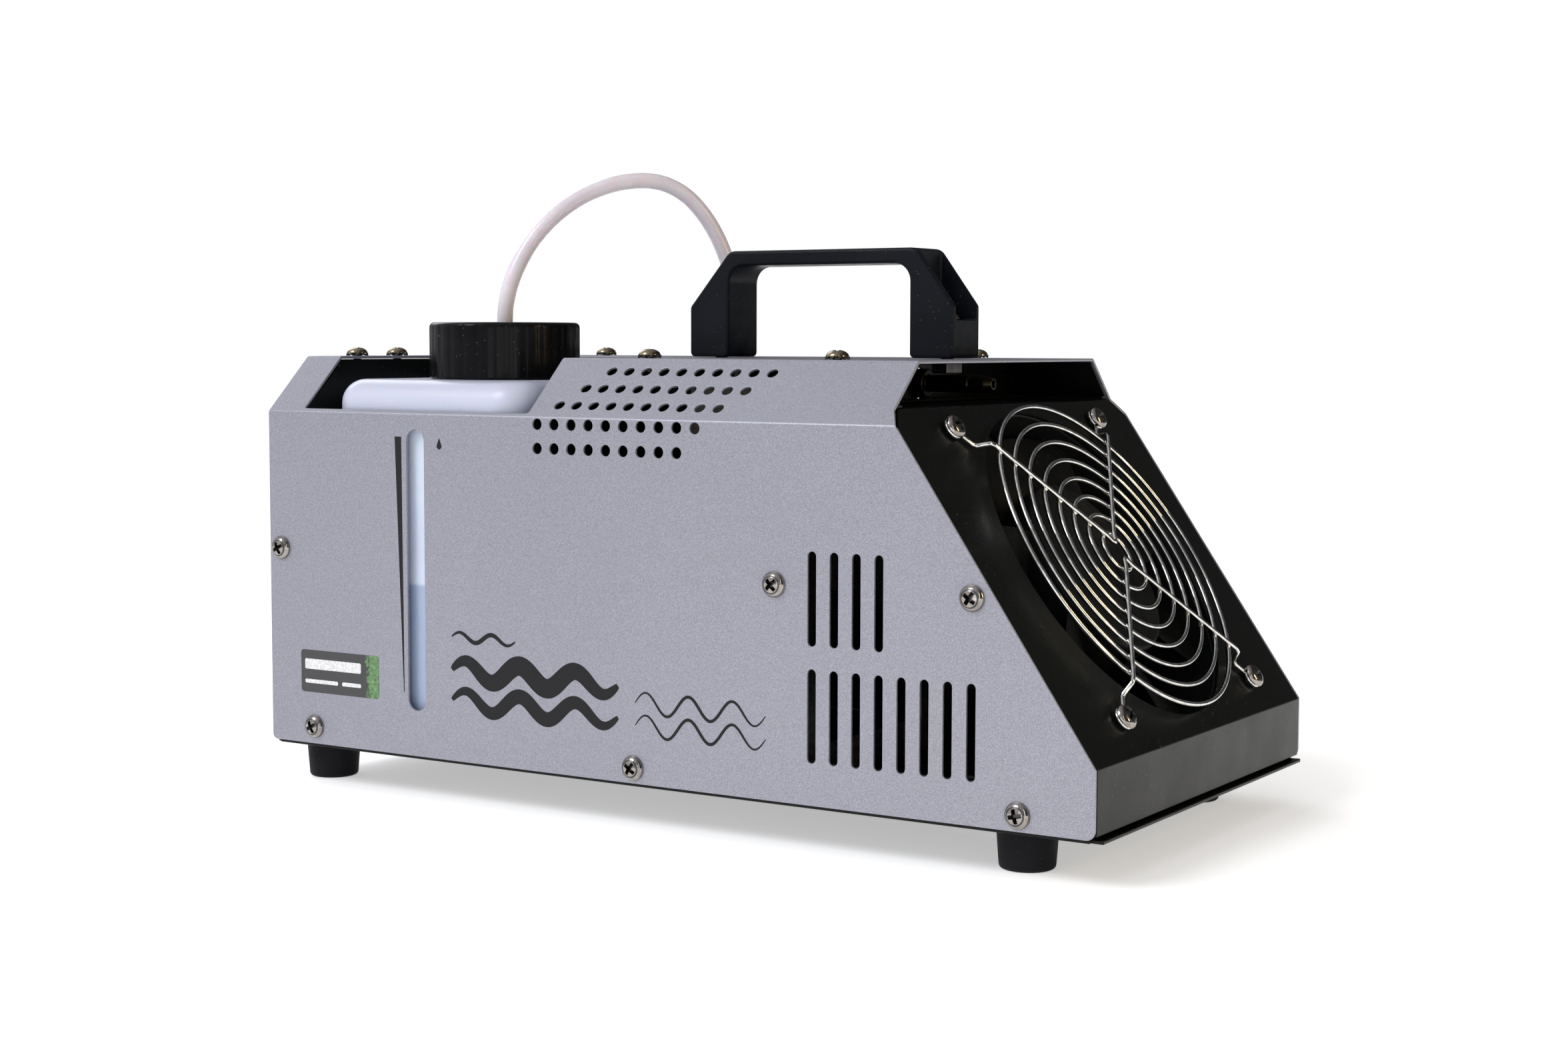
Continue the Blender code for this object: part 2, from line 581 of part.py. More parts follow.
def make_rear_panel():
    """Rear panel: a face with cut-outs for the sockets, a top flange and side flanges."""
    bottom_z = TRAY_Z + PANEL_SHEET + GAP
    top_z = TOP_Z - COVER_SHEET - GAP
    flange, side_flange = 0.0135, 0.0120
    half = INSIDE_HALF_WIDTH
    top_half = TOP_HALF_WIDTH - 0.0012

    def at(z):
        return flange + top_z - z

    side_low, side_high = 0.060, 0.115
    edge = [(0.0, top_half - 0.004), (flange, top_half), (at(BEND_Z - 0.0004), half),
            (at(side_high), half), (at(side_high), half + side_flange),
            (at(side_low), half + side_flange), (at(side_low), half), (at(bottom_z), half)]
    outline = edge + [(s, -q) for s, q in reversed(edge)]
    rear_screw_x, rear_screw_z = SIDE_SCREWS[0]
    holes = [circle((at(rear_screw_z), side * (half + rear_screw_x - REAR_FACE_X)), SCREW_HOLE)
             for side in (-1, 1)]
    holes += [circle((rear_flange_distance(x, flange), y), SCREW_HOLE)
              for x, y in TOP_SCREW_HOLES if x < -0.150]

    def window(centre, width, height):
        y, z = centre
        return rectangle((at(z + height / 2), y - width / 2), (at(z - height / 2), y + width / 2))

    holes.append(window(INLET_CENTRE, 0.0274, 0.0314))
    holes.append(window(ROCKER_CENTRE, 0.0134, 0.0196))
    holes.append(window(DISPLAY_CENTRE, DISPLAY_SIZE[0] + 0.0006, DISPLAY_SIZE[1] + 0.0006))
    holes += [circle((at(z), y), 0.0122, 20) for y, z in (DATA_IN_CENTRE, DATA_OUT_CENTRE)]
    holes += [circle((at(z), y), BUTTON_HOLE, 12) for y, z in BUTTON_CENTRES]
    profile = [(REAR_FACE_X + flange, top_z), (REAR_FACE_X, top_z), (REAR_FACE_X, bottom_z)]
    plate = folded_sheet(outline, holes, PANEL_SHEET, profile, across_y, 1, side_bend=half)
    add_part("rear_panel", plate, BLACK_SHEET, smooth_degrees=20)


def rear_flange_distance(x, flange):
    """Flat distance of a hole in the rear panel's top flange."""
    return flange - (x - REAR_FACE_X)


def make_tank_bay():
    """Three black walls round the bottle, cut to the cover's chamfer at their ends."""
    low_z, high_z = TRAY_Z + PANEL_SHEET + GAP, TOP_Z - COVER_SHEET - GAP
    rear_x, front_x, inner_y = -0.1475, -0.0425, CUTOUT_Y_MAX + COVER_SHEET
    near_y = -(INSIDE_HALF_WIDTH - 0.0003)
    chamfer_y = -(TOP_HALF_WIDTH - 0.0012)
    end = inner_y - near_y
    slope_end = chamfer_y - near_y
    total = 2 * end + front_x - rear_x
    bend_z = BEND_Z - 0.0006
    outline = [(0.0, low_z + 0.0160), (0.0, bend_z), (slope_end, high_z),
               (total - slope_end, high_z), (total, bend_z), (total, low_z + 0.0160),
               (total - 0.003, low_z + 0.0160), (total - 0.003, low_z),
               (0.003, low_z), (0.003, low_z + 0.0160)]
    profile = [(rear_x, near_y), (rear_x, inner_y), (front_x, inner_y), (front_x, near_y)]
    plate = folded_sheet(outline, [], COVER_SHEET, profile, upright, -1)
    add_part("tank_bay", plate, BLACK_SHEET, smooth_degrees=20)


def make_inner_bracket():
    """Cross bracket behind the fan: an air opening, side flanges and the heater's shelf."""
    bottom_z = TRAY_Z + PANEL_SHEET + GAP
    shelf = BULKHEAD_X - SHELF_REAR_X
    half, shelf_half, flange = INSIDE_HALF_WIDTH, 0.030, 0.012
    low = shelf + SHELF_Z - bottom_z
    flange_start, flange_end = shelf + 0.002, shelf + 0.034
    edge = [(0.0, shelf_half), (shelf, shelf_half), (shelf + 0.0005, half),
            (flange_start, half), (flange_start, half + flange),
            (flange_end, half + flange), (flange_end, half), (low - 0.016, half),
            (low - 0.016, half - 0.002), (low, half - 0.002)]
    outline = edge + [(s, -q) for s, q in reversed(edge)]
    screw_x, screw_z = PLAIN_SIDE_HOLES[2]
    holes = [circle((shelf + SHELF_Z - screw_z, side * (half + screw_x - BULKHEAD_X)),
                    SCREW_HOLE) for side in (-1, 1)]
    holes.append(rectangle((shelf + 0.018, -0.050), (low - 0.012, 0.020)))
    profile = [(SHELF_REAR_X, SHELF_Z), (BULKHEAD_X, SHELF_Z), (BULKHEAD_X, bottom_z)]
    plate = folded_sheet(outline, holes, PANEL_SHEET, profile, across_y, 1, side_bend=half)
    add_part("inner_bracket", plate, STEEL, smooth_degrees=20)


def make_handle():
    """Bridge handle with sloping shoulders; each shoulder has a pocket for its bolt."""
    low_z, shoulder_z, under_z = TOP_Z + GAP, 0.1725, 0.1868
    rear_x, front_x = HANDLE_X
    rear_top, front_top = -0.0120, 0.0631
    rear_leg, front_leg, round_in = -0.0123, 0.0610, 0.006

    def fillet(centre_x, start):
        return [(centre_x + round_in * math.cos(math.radians(start - 30 * i)),
                 under_z - round_in + round_in * math.sin(math.radians(start - 30 * i)))
                for i in range(4)]

    outline = [(rear_x, low_z), (rear_x, shoulder_z), (rear_top, HANDLE_TOP_Z),
               (front_top, HANDLE_TOP_Z), (front_x, shoulder_z), (front_x, low_z),
               (front_leg, low_z)]
    outline += list(reversed(fillet(front_leg - round_in, 90)))
    outline += list(reversed(fillet(rear_leg + round_in, 180)))
    outline.append((rear_leg, low_z))
    plate = flat_plate(outline, [], HANDLE_HALF_WIDTH * 2)
    bmesh.ops.dissolve_limit(plate, angle_limit=0.01, verts=plate.verts, edges=plate.edges)
    sharp = [edge for edge in plate.edges if edge.calc_face_angle(0.0) > 0.4]
    bmesh.ops.bevel(plate, geom=sharp, offset=0.0007, segments=1, affect="EDGES")
    bmesh.ops.rotate(plate, cent=(0, 0, 0), matrix=Matrix.Rotation(math.pi / 2, 3, "X"),
                     verts=plate.verts)
    handle = add_part("carry_handle", plate, BLACK_PLASTIC)
    wall, end_wall = 0.0024, 0.0026
    pockets = bmesh.new()
    inside = HANDLE_HALF_WIDTH - wall
    add_box(pockets, (front_leg + end_wall, -inside, POCKET_FLOOR_Z), (front_x + 0.01, inside, 0.2))
    add_box(pockets, (rear_x - 0.01, -inside, POCKET_FLOOR_Z), (rear_leg - end_wall, inside, 0.2))
    cut(handle, pockets)
    bolt_holes = bmesh.new()
    for x in HANDLE_BOLT_X:
        add_rod(bolt_holes, (x, 0, low_z - 0.002), (x, 0, POCKET_FLOOR_Z + 0.002),
                HANDLE_BOLT_HOLE, segments=12)
    cut(handle, bolt_holes)


def make_handle_bolts():
    """Bolt with its nut made fast on the end: pan head, shank and hexagon nut."""
    head_z, nut_top, nut_low = POCKET_FLOOR_Z + GAP, TOP_Z - COVER_SHEET - GAP, 0.1497
    shank = HANDLE_BOLT_HOLE - 0.0004
    profile = [(0.0, head_z + 0.0030), (0.0030, head_z + 0.0028), (0.0045, head_z + 0.0012),
               (0.0045, head_z), (shank, head_z), (shank, nut_top), (0.0058, nut_top),
               (0.0058, nut_low), (0.0, nut_low)]
    for name, x in zip(("rear", "front"), HANDLE_BOLT_X):
        bm = bmesh.new()
        add_turned(bm, profile, Matrix.Translation((x, 0, 0)), segments=10)
        add_part("handle_bolt_" + name, bm, CHROME)


def make_feet():
    """Tapered rubber feet with a countersunk hole for the screw."""
    profile = [(FOOT_RADIUS, FOOT_HEIGHT), (FOOT_TIP_RADIUS + 0.0002, 0.0012),
               (FOOT_TIP_RADIUS - 0.0010, 0.0), (0.0045, 0.0), (0.0045, 0.0050),
               (0.0024, 0.0050), (0.0024, FOOT_HEIGHT)]
    names = ("rear_near", "front_near", "rear_far", "front_far")
    places = [(x, y) for y in (-FOOT_Y, FOOT_Y) for x in FOOT_X]
    for name, (x, y) in zip(names, places):
        bm = bmesh.new()
        add_turned(bm, profile, Matrix.Translation((x, y, 0)), segments=14, closed=True)
        add_part("rubber_foot_" + name, bm, RUBBER)


def screw_bmesh(place, length, shank=SCREW_SHANK):
    """Pan head screw whose head sits on z = 0 of its place, with the shank below."""
    bm = bmesh.new()
    head = SCREW_HEAD
    profile = [(0.0, SCREW_HEAD_HEIGHT), (head * 0.55, SCREW_HEAD_HEIGHT * 0.9),
               (head * 0.88, SCREW_HEAD_HEIGHT * 0.5), (head, 0.0), (shank, 0.0),
               (shank, -length), (0.0, -length)]
    add_turned(bm, profile, place, segments=8)
    return bm


def make_cover_screws():
    """Three screws a side that hold the cover to the rear, bottom and front sheets."""
    for side, label in ((-1, "near"), (1, "far")):
        for where, (x, z) in zip(("rear", "bottom", "front"), SIDE_SCREWS):
            place = facing((x, side * (HALF_WIDTH + GAP), z), (0, side, 0))
            add_part(f"cover_screw_{label}_{where}", screw_bmesh(place, 0.0055), CHROME)


# ---------------------------------------------------------------- fan
GUARD_WIRE = 0.0008
RING_COUNT, RING_PITCH, OUTER_RING = 8, 0.0071, 0.0568
RING_HEIGHT = 0.0050  # middle of the ring wires above the panel
SPOKE_HEIGHT = RING_HEIGHT + 1.45 * GUARD_WIRE
EYE_RADIUS = 0.0031


def guard_spoke_path(side):
    """One V-shaped spoke: eye, up over the rings, in to the middle and out again."""
    eye = Vector((side * FAN_HOLE_PITCH, -FAN_HOLE_PITCH, 0.0))
    apex = Vector((side * 0.0026, 0.0, 0.0))
    inward = (apex - eye).normalized()
    eye_height = GUARD_WIRE + 0.0005
    start = eye + inward * EYE_RADIUS
    half = [start + Vector((0, 0, eye_height)),
            eye + inward * 0.0095 + Vector((0, 0, eye_height)),
            eye + inward * 0.0135 + Vector((0, 0, SPOKE_HEIGHT)),
            Vector((side * 0.0052, -0.0018, SPOKE_HEIGHT)),
            Vector((side * 0.0030, -0.0009, SPOKE_HEIGHT))]
    mirrored = [Vector((p.x, -p.y, p.z)) for p in reversed(half)]
    return half + mirrored


def make_fan_guard():
    """Eight wire rings welded under two V-shaped spokes that end in eyes."""
    rings = []
    for i in range(RING_COUNT):
        radius = OUTER_RING - RING_PITCH * i
        count = max(10, round(28 * radius / OUTER_RING))
        points = [(x, y, RING_HEIGHT) for x, y in circle((0, 0), radius, count)]
        ring = add_tube("ring", points, GUARD_WIRE, CHROME, resolution=0, closed=True)
        rings.append(mesh_from_curve(ring))
    guard = add_part("fan_guard", rings[0], CHROME, FAN_PLACE)
    for ring in rings[1:]:
        append_to(guard, ring)
    for side in (-1, 1):
        spoke = add_tube("spoke", guard_spoke_path(side), GUARD_WIRE, CHROME, resolution=1)
        join(guard, mesh_from_curve(spoke))
    eyes = bmesh.new()
    for u in (-1, 1):
        for v in (-1, 1):
            centre = (u * FAN_HOLE_PITCH, v * FAN_HOLE_PITCH)
            points = [(x, y, GUARD_WIRE + 0.0005) for x, y in circle(centre, EYE_RADIUS, 10)]
            eye = add_tube("eye", points, GUARD_WIRE, CHROME, resolution=1, closed=True)
            copy_into(eyes, mesh_from_curve(eye))
    join(guard, eyes)


def copy_into(target, source):
    """Add one bmesh's faces to another."""
    mesh = bpy.data.meshes.new("copy")
    source.to_mesh(mesh)
    source.free()
    target.from_mesh(mesh)
    bpy.data.meshes.remove(mesh)


def append_to(part, bm):
    """Add a bmesh's faces to a part's own mesh, to be welded by a later union."""
    whole = bmesh.new()
    whole.from_mesh(part.data)
    copy_into(whole, bm)
    bmesh.ops.recalc_face_normals(whole, faces=whole.faces)
    whole.to_mesh(part.data)
    whole.free()


def make_guard_screws():
    for i, (u, v) in enumerate(((-1, -1), (-1, 1), (1, -1), (1, 1)), start=1):
        lift = 2 * GUARD_WIRE + 0.0008
        centre = Vector((u * FAN_HOLE_PITCH, v * FAN_HOLE_PITCH, lift))
        place = FAN_PLACE @ Matrix.Translation(centre)
        add_part(f"guard_screw_{i}", screw_bmesh(place, 0.0065), CHROME)


FRAME_FRONT = -(PANEL_SHEET + GAP)  # fan frame's front face in the fan's own frame
ROTOR_RADIUS, HUB_RADIUS = 0.0552, 0.0320


def make_fan_frame():
    """Square fan frame with a round duct and four struts that carry the motor base."""
    half = FAN_SIZE / 2
    chamfer = 0.004
    outline = []
    for u, v in ((1, 1), (-1, 1), (-1, -1), (1, -1)):
        corner = [(u * half, v * (half - chamfer)), (u * (half - chamfer), v * half)]
        outline += corner if u * v > 0 else corner[::-1]
    holes = [circle((0, 0), FAN_HOLE_RADIUS, 36)]
    holes += [circle((u * FAN_HOLE_PITCH, v * FAN_HOLE_PITCH), SCREW_HOLE)
              for u in (-1, 1) for v in (-1, 1)]
    plate = flat_plate(outline, holes, FAN_DEPTH)
    bmesh.ops.translate(plate, verts=plate.verts, vec=(0, 0, FRAME_FRONT - FAN_DEPTH / 2))
    frame = add_part("fan_frame", plate, BLACK_PLASTIC, FAN_PLACE)
    back = FRAME_FRONT - FAN_DEPTH
    base = bmesh.new()
    add_rod(base, (0, 0, back + 0.0002), (0, 0, back + 0.0032), HUB_RADIUS, segments=20)
    join(frame, base)
    for i in range(4):
        strut = bmesh.new()
        verts = add_box(strut, (0.025, -0.0025, back + 0.0004), (0.0590, 0.0025, back + 0.0029))
        bmesh.ops.rotate(strut, cent=(0, 0, 0), verts=verts,
                         matrix=Matrix.Rotation(math.radians(45 + 90 * i), 3, "Z"))
        join(frame, strut)


def make_stator():
    """Wound stator on the motor base, with the bearing bore for the rotor's shaft."""
    low = FRAME_FRONT - FAN_DEPTH + 0.0035
    profile = [(0.0190, low + 0.0145), (0.0225, low + 0.0120), (0.0225, low + 0.0030),
               (0.0190, low), (0.0024, low), (0.0024, low + 0.0145)]
    bm = bmesh.new()
    add_turned(bm, profile, segments=16, closed=True)
    add_part("fan_stator", bm, BRASS, FAN_PLACE)


def blade_bmesh(turn):
    """One swept fan blade: a curved sheet from the hub to the tip."""
    bm = bmesh.new()
    steps_r, steps_a = 2, 3
    made = bmesh.ops.create_grid(bm, x_segments=steps_r, y_segments=steps_a, size=0.5)["verts"]
    middle = FRAME_FRONT - 0.0115
    for vert in made:
        along, chord = vert.co.x + 0.5, vert.co.y  # 0..1 out, -0.5..0.5 across
        radius = 0.0300 + along * (ROTOR_RADIUS - 0.0300)
        sweep = math.radians(38 + 6 * along) * chord + math.radians(12) * along
        rise = -0.0150 * chord * (1 - 0.15 * along) + 0.0022 * math.cos(math.pi * chord)
        angle = turn + sweep
        vert.co = (radius * math.cos(angle), radius * math.sin(angle), middle + rise)
    bmesh.ops.recalc_face_normals(bm, faces=bm.faces)
    bmesh.ops.solidify(bm, geom=bm.faces[:], thickness=0.0015)
    return bm


def make_rotor():
    """Cup-shaped hub with seven blades and its shaft, turning about the fan's axis."""
    front = FRAME_FRONT - 0.0015
    back = FRAME_FRONT - FAN_DEPTH + 0.0045
    inner, shaft = 0.0285, 0.0020
    profile = [(0.0, front), (HUB_RADIUS - 0.0012, front), (HUB_RADIUS, front - 0.0012),
               (HUB_RADIUS, back), (inner, back), (inner, front - 0.0030),
               (shaft, front - 0.0030), (shaft, back + 0.0005), (0.0, back + 0.0005)]
    bm = bmesh.new()
    add_turned(bm, profile, segments=28)
    rotor = add_part("fan_rotor", bm, BLACK_PLASTIC, FAN_PLACE)
    blades = bmesh.new()
    for i in range(7):
        copy_into(blades, blade_bmesh(math.tau * i / 7))
    join(rotor, blades)


# ---------------------------------------------------------------- heater and outlet
BLOCK_LOW, BLOCK_HIGH = Vector((-0.0220, -0.0205, 0.1020)), Vector((0.0460, 0.0205, 0.1395))


def make_heater():
    """Cast heater block in an open-ended sleeve of insulation that sits on the shelf."""
    block = bmesh.new()
    add_box(block, BLOCK_LOW, BLOCK_HIGH)
    bmesh.ops.bevel(block, geom=block.edges[:], offset=0.0015, segments=1, affect="EDGES")
    add_part("heater_block", block, ALUMINIUM)
    wall, clear = 0.0042, 0.0004
    middle_z = (BLOCK_LOW.z + BLOCK_HIGH.z) / 2
    half_y = BLOCK_HIGH.y + clear
    half_z = (BLOCK_HIGH.z - BLOCK_LOW.z) / 2 + clear
    outer = rectangle((-half_y - wall, -half_z - wall), (half_y + wall, half_z + wall))
    inner = rectangle((-half_y, -half_z), (half_y, half_z))
    length = BLOCK_HIGH.x - BLOCK_LOW.x - 0.008
    sleeve = flat_plate(outer, [inner], length)
    centre = Vector(((BLOCK_LOW.x + BLOCK_HIGH.x) / 2, 0.0, middle_z))
    turn = Matrix(((0, 0, 1, 0), (1, 0, 0, 0), (0, 1, 0, 0), (0, 0, 0, 1)))
    bmesh.ops.transform(sleeve, matrix=Matrix.Translation(centre) @ turn, verts=sleeve.verts)
    add_part("heater_jacket", sleeve, INSULATION)


def make_outlet():
    """Steel pipe from the heater up to the nozzle, and the brass fog nozzle."""
    start = Vector((BLOCK_HIGH.x + GAP, 0.0, 0.1220))
    end = Vector((BACK_WALL_X - 0.0035, 0.0, NOZZLE_Z))
    route = [start, start + Vector((0.0030, 0, 0.0005)), Vector((0.0515, 0, 0.1275)),
             Vector((0.0515, 0, 0.1405)), end - Vector((0.0025, 0, 0)), end]
    add_tube("outlet_pipe", smooth_route(route, 0.004), 0.0020, STEEL)
    rear = end.x + GAP
    bore, radius, length = 0.0012, NOZZLE_RADIUS, NOZZLE_TIP_X - rear
    collar_end = BACK_WALL_X + 0.0035 - rear
    profile = [(NOZZLE_COLLAR, 0.0), (NOZZLE_COLLAR, collar_end), (radius, collar_end),
               (radius, length - 0.0030), (radius - 0.0008, length), (bore, length), (bore, 0.0)]
    bm = bmesh.new()
    place = facing((rear, 0.0, NOZZLE_Z), (1, 0, 0))
    add_turned(bm, profile, place, segments=14, closed=True)
    add_part("fog_nozzle", bm, BRASS)


# ---------------------------------------------------------------- fluid system
PUMP_Y, PUMP_Z, PUMP_END = 0.0480, 0.0420, 0.0340


def rounded_box(low, high, corner, foot, shoulder, corner_steps, edge_steps):
    """A box with round upright corners and rounded lower and upper rims, as a loft."""
    levels = []
    for i in range(edge_steps + 1):
        turn = math.pi / 2 * i / edge_steps
        levels.append((low.z + foot * (1 - math.sin(turn)), foot * (1 - math.cos(turn))))
    levels.reverse()
    for i in range(edge_steps + 1):
        turn = math.pi / 2 * i / edge_steps
        levels.append((high.z - shoulder * (1 - math.sin(turn)), shoulder * (1 - math.cos(turn))))
    bm = bmesh.new()
    rings = []
    for z, inset in levels:
        radius = corner - inset
        ring = []
        for quarter, (x, y) in enumerate(((high.x, high.y), (low.x, high.y),
                                          (low.x, low.y), (high.x, low.y))):
            centre_x = x - math.copysign(corner, x - (low.x + high.x) / 2)
            centre_y = y - math.copysign(corner, y - (low.y + high.y) / 2)
            for i in range(corner_steps + 1):
                angle = math.pi / 2 * (quarter + i / corner_steps)
                ring.append(bm.verts.new((centre_x + radius * math.cos(angle),
                                          centre_y + radius * math.sin(angle), z)))
        rings.append(ring)
    for lower, upper in zip(rings, rings[1:]):
        for i in range(len(lower)):
            after = (i + 1) % len(lower)
            bm.faces.new((lower[i], lower[after], upper[after], upper[i]))
    bm.faces.new(rings[0][::-1])
    bm.faces.new(rings[-1])
    return bm


def make_bottle():
    """Blow-moulded bottle with a screw neck, open at the top."""
    outer = rounded_box(BOTTLE_LOW, BOTTLE_HIGH, 0.0140, 0.0040, 0.0080, 4, 2)
    bottle = add_part("tank_bottle", outer, MILKY)
    neck = bmesh.new()
    profile = [(0.0, NECK_TOP_Z), (NECK_RADIUS, NECK_TOP_Z), (NECK_RADIUS, 0.1479),
               (0.0250, 0.1479), (0.0250, 0.1450), (0.0, 0.1450)]
    add_turned(neck, profile, Matrix.Translation(CAP_CENTRE), segments=24)
    join(bottle, neck)
    wall = Vector((BOTTLE_WALL,) * 3)
    inner = rounded_box(BOTTLE_LOW + wall, BOTTLE_HIGH - wall, 0.0122, 0.0030, 0.0062, 3, 1)
    cut(bottle, inner)
    bore = bmesh.new()
    add_rod(bore, CAP_CENTRE + Vector((0, 0, 0.140)), CAP_CENTRE + Vector((0, 0, 0.170)),
            NECK_BORE, segments=24)
    cut(bottle, bore)


FILTER_LOW, FILTER_RADIUS = 0.0240, 0.0060


def make_fluid():
    """The fluid, clear of the bottle's wall, with a well for the filter and its tube."""
    inset = BOTTLE_WALL + 0.0004
    low = BOTTLE_LOW + Vector((inset, inset, inset))
    high = Vector((BOTTLE_HIGH.x - inset, BOTTLE_HIGH.y - inset, FLUID_TOP_Z))
    body = rounded_box(low, high, 0.0118, 0.0030, 0.0005, 3, 1)
    fluid = add_part("tank_fluid", body, FLUID)
    well = bmesh.new()
    start = CAP_CENTRE + Vector((0, 0, FILTER_LOW - 0.001))
    add_rod(well, start, CAP_CENTRE + Vector((0, 0, FLUID_TOP_Z + 0.01)), 0.0066, segments=12)
    cut(fluid, well)


def make_pickup():
    """Pickup tube hanging from the cap's hole, and the filter on its lower end."""
    top = CAP_CENTRE + Vector((0, 0, CAP_TOP_Z - 0.0004))
    low = CAP_CENTRE + Vector((0, 0, FILTER_LOW + 0.0080))
    add_tube("pickup_tube", [top.lerp(low, i / 4) for i in range(5)], HOSE_RADIUS, MILKY)
    r = FILTER_RADIUS
    bore, floor, high = HOSE_RADIUS + 0.0004, FILTER_LOW + 0.0070, FILTER_LOW + 0.0150
    profile = [(0.0, floor), (bore, floor), (bore, high), (r, high),
               (r, FILTER_LOW + 0.0010), (r - 0.0010, FILTER_LOW), (0.0, FILTER_LOW)]
    bm = bmesh.new()
    add_turned(bm, profile, Matrix.Translation(CAP_CENTRE), segments=14)
    add_part("fluid_filter", bm, STEEL)


def make_cap():
    """Screw cap with a hole for the hose, and the seal ring it presses on the neck."""
    r = CAP_RADIUS
    inner, roof = NECK_RADIUS + 0.0006, CAP_TOP_Z - 0.0018
    profile = [(HOSE_HOLE, CAP_TOP_Z), (r - 0.0008, CAP_TOP_Z), (r, CAP_TOP_Z - 0.0008),
               (r, CAP_LOW_Z), (inner, CAP_LOW_Z), (inner, roof), (HOSE_HOLE, roof)]
    bm = bmesh.new()
    add_turned(bm, profile, segments=36, closed=True)
    add_part("tank_cap", bm, GLOSS_BLACK, Matrix.Translation(CAP_CENTRE))
    low, high = NECK_TOP_Z + GAP, roof - GAP
    ring = [(NECK_RADIUS, high), (NECK_RADIUS, low), (HOSE_HOLE, low), (HOSE_HOLE, high)]
    bm = bmesh.new()
    add_turned(bm, ring, segments=20, closed=True)
    add_part("cap_seal", bm, RUBBER, Matrix.Translation(CAP_CENTRE))


# The hose arches from the cap over to the grommet behind the handle's rear leg.
HOSE_ROUTE = (
    (-0.0903, -0.0380, CAP_TOP_Z + GAP), (-0.0900, -0.0376, 0.1730), (-0.0889, -0.0360, 0.1810),
    (-0.0869, -0.0331, 0.1890), (-0.0840, -0.0290, 0.1970), (-0.0799, -0.0230, 0.2048),
    (-0.0750, -0.0160, 0.2112), (-0.0700, -0.0088, 0.2155), (-0.0650, -0.0016, 0.2181),
    (-0.0598, 0.0058, 0.2191), (-0.0550, 0.0128, 0.2180), (-0.0503, 0.0195, 0.2139),
    (-0.0462, 0.0253, 0.2068), (-0.0430, 0.0299, 0.1980), (-0.0407, 0.0333, 0.1880),
    (-0.0393, 0.0353, 0.1775), (-0.0387, 0.0362, 0.1670), (-0.0385, 0.0365, 0.1574))


def make_hoses():
    """The hose outside, its grommet, and the tubes from there to the pump and heater."""
    add_tube("feed_hose", smooth_route(HOSE_ROUTE, 0.006), HOSE_RADIUS, MILKY)
    x, y, top = GROMMET_CENTRE
    hole = 0.0029
    lip, neck, under = 0.0055, 0.0039, top - COVER_SHEET - GAP
    profile = [(hole, top + 0.0023), (lip - 0.0008, top + 0.0023), (lip, top + 0.0012),
               (lip, top + GAP), (neck, top + GAP), (neck, under), (lip, under),
               (lip, under - 0.0012), (hole, under - 0.0012)]
    bm = bmesh.new()
    add_turned(bm, profile, Matrix.Translation((x, y, 0)), segments=14, closed=True)
    add_part("hose_grommet", bm, RUBBER)
    start = Vector((x, y, top + 0.0020))
    inlet = Vector((-PUMP_END - GAP, PUMP_Y, PUMP_Z))
    suction = [start, start - Vector((0, 0, 0.012)), (-0.0390, 0.0385, 0.110),
               (-0.0420, 0.0440, 0.075), (-0.0435, 0.0475, 0.053),
               inlet - Vector((0.0050, 0, 0)), inlet]
    add_tube("suction_hose", smooth_route(suction, 0.009), HOSE_RADIUS, MILKY)
    outlet = Vector((PUMP_END + GAP, PUMP_Y, PUMP_Z))
    entry = Vector((BLOCK_LOW.x - GAP, 0.0, 0.1220))
    pressure = [outlet, outlet + Vector((0.0040, 0, 0.0012)), (0.0405, 0.0475, 0.0550),
                (0.0370, 0.0440, 0.0830), (0.0200, 0.0400, 0.1040), (-0.0060, 0.0370, 0.1170),
                (-0.0260, 0.0280, 0.1240), (-0.0330, 0.0130, 0.1240),
                entry - Vector((0.0065, -0.0010, 0.0)), entry - Vector((0.0030, 0, 0)), entry]
    add_tube("pressure_tube", smooth_route(pressure, 0.008), 0.0020, STEEL)


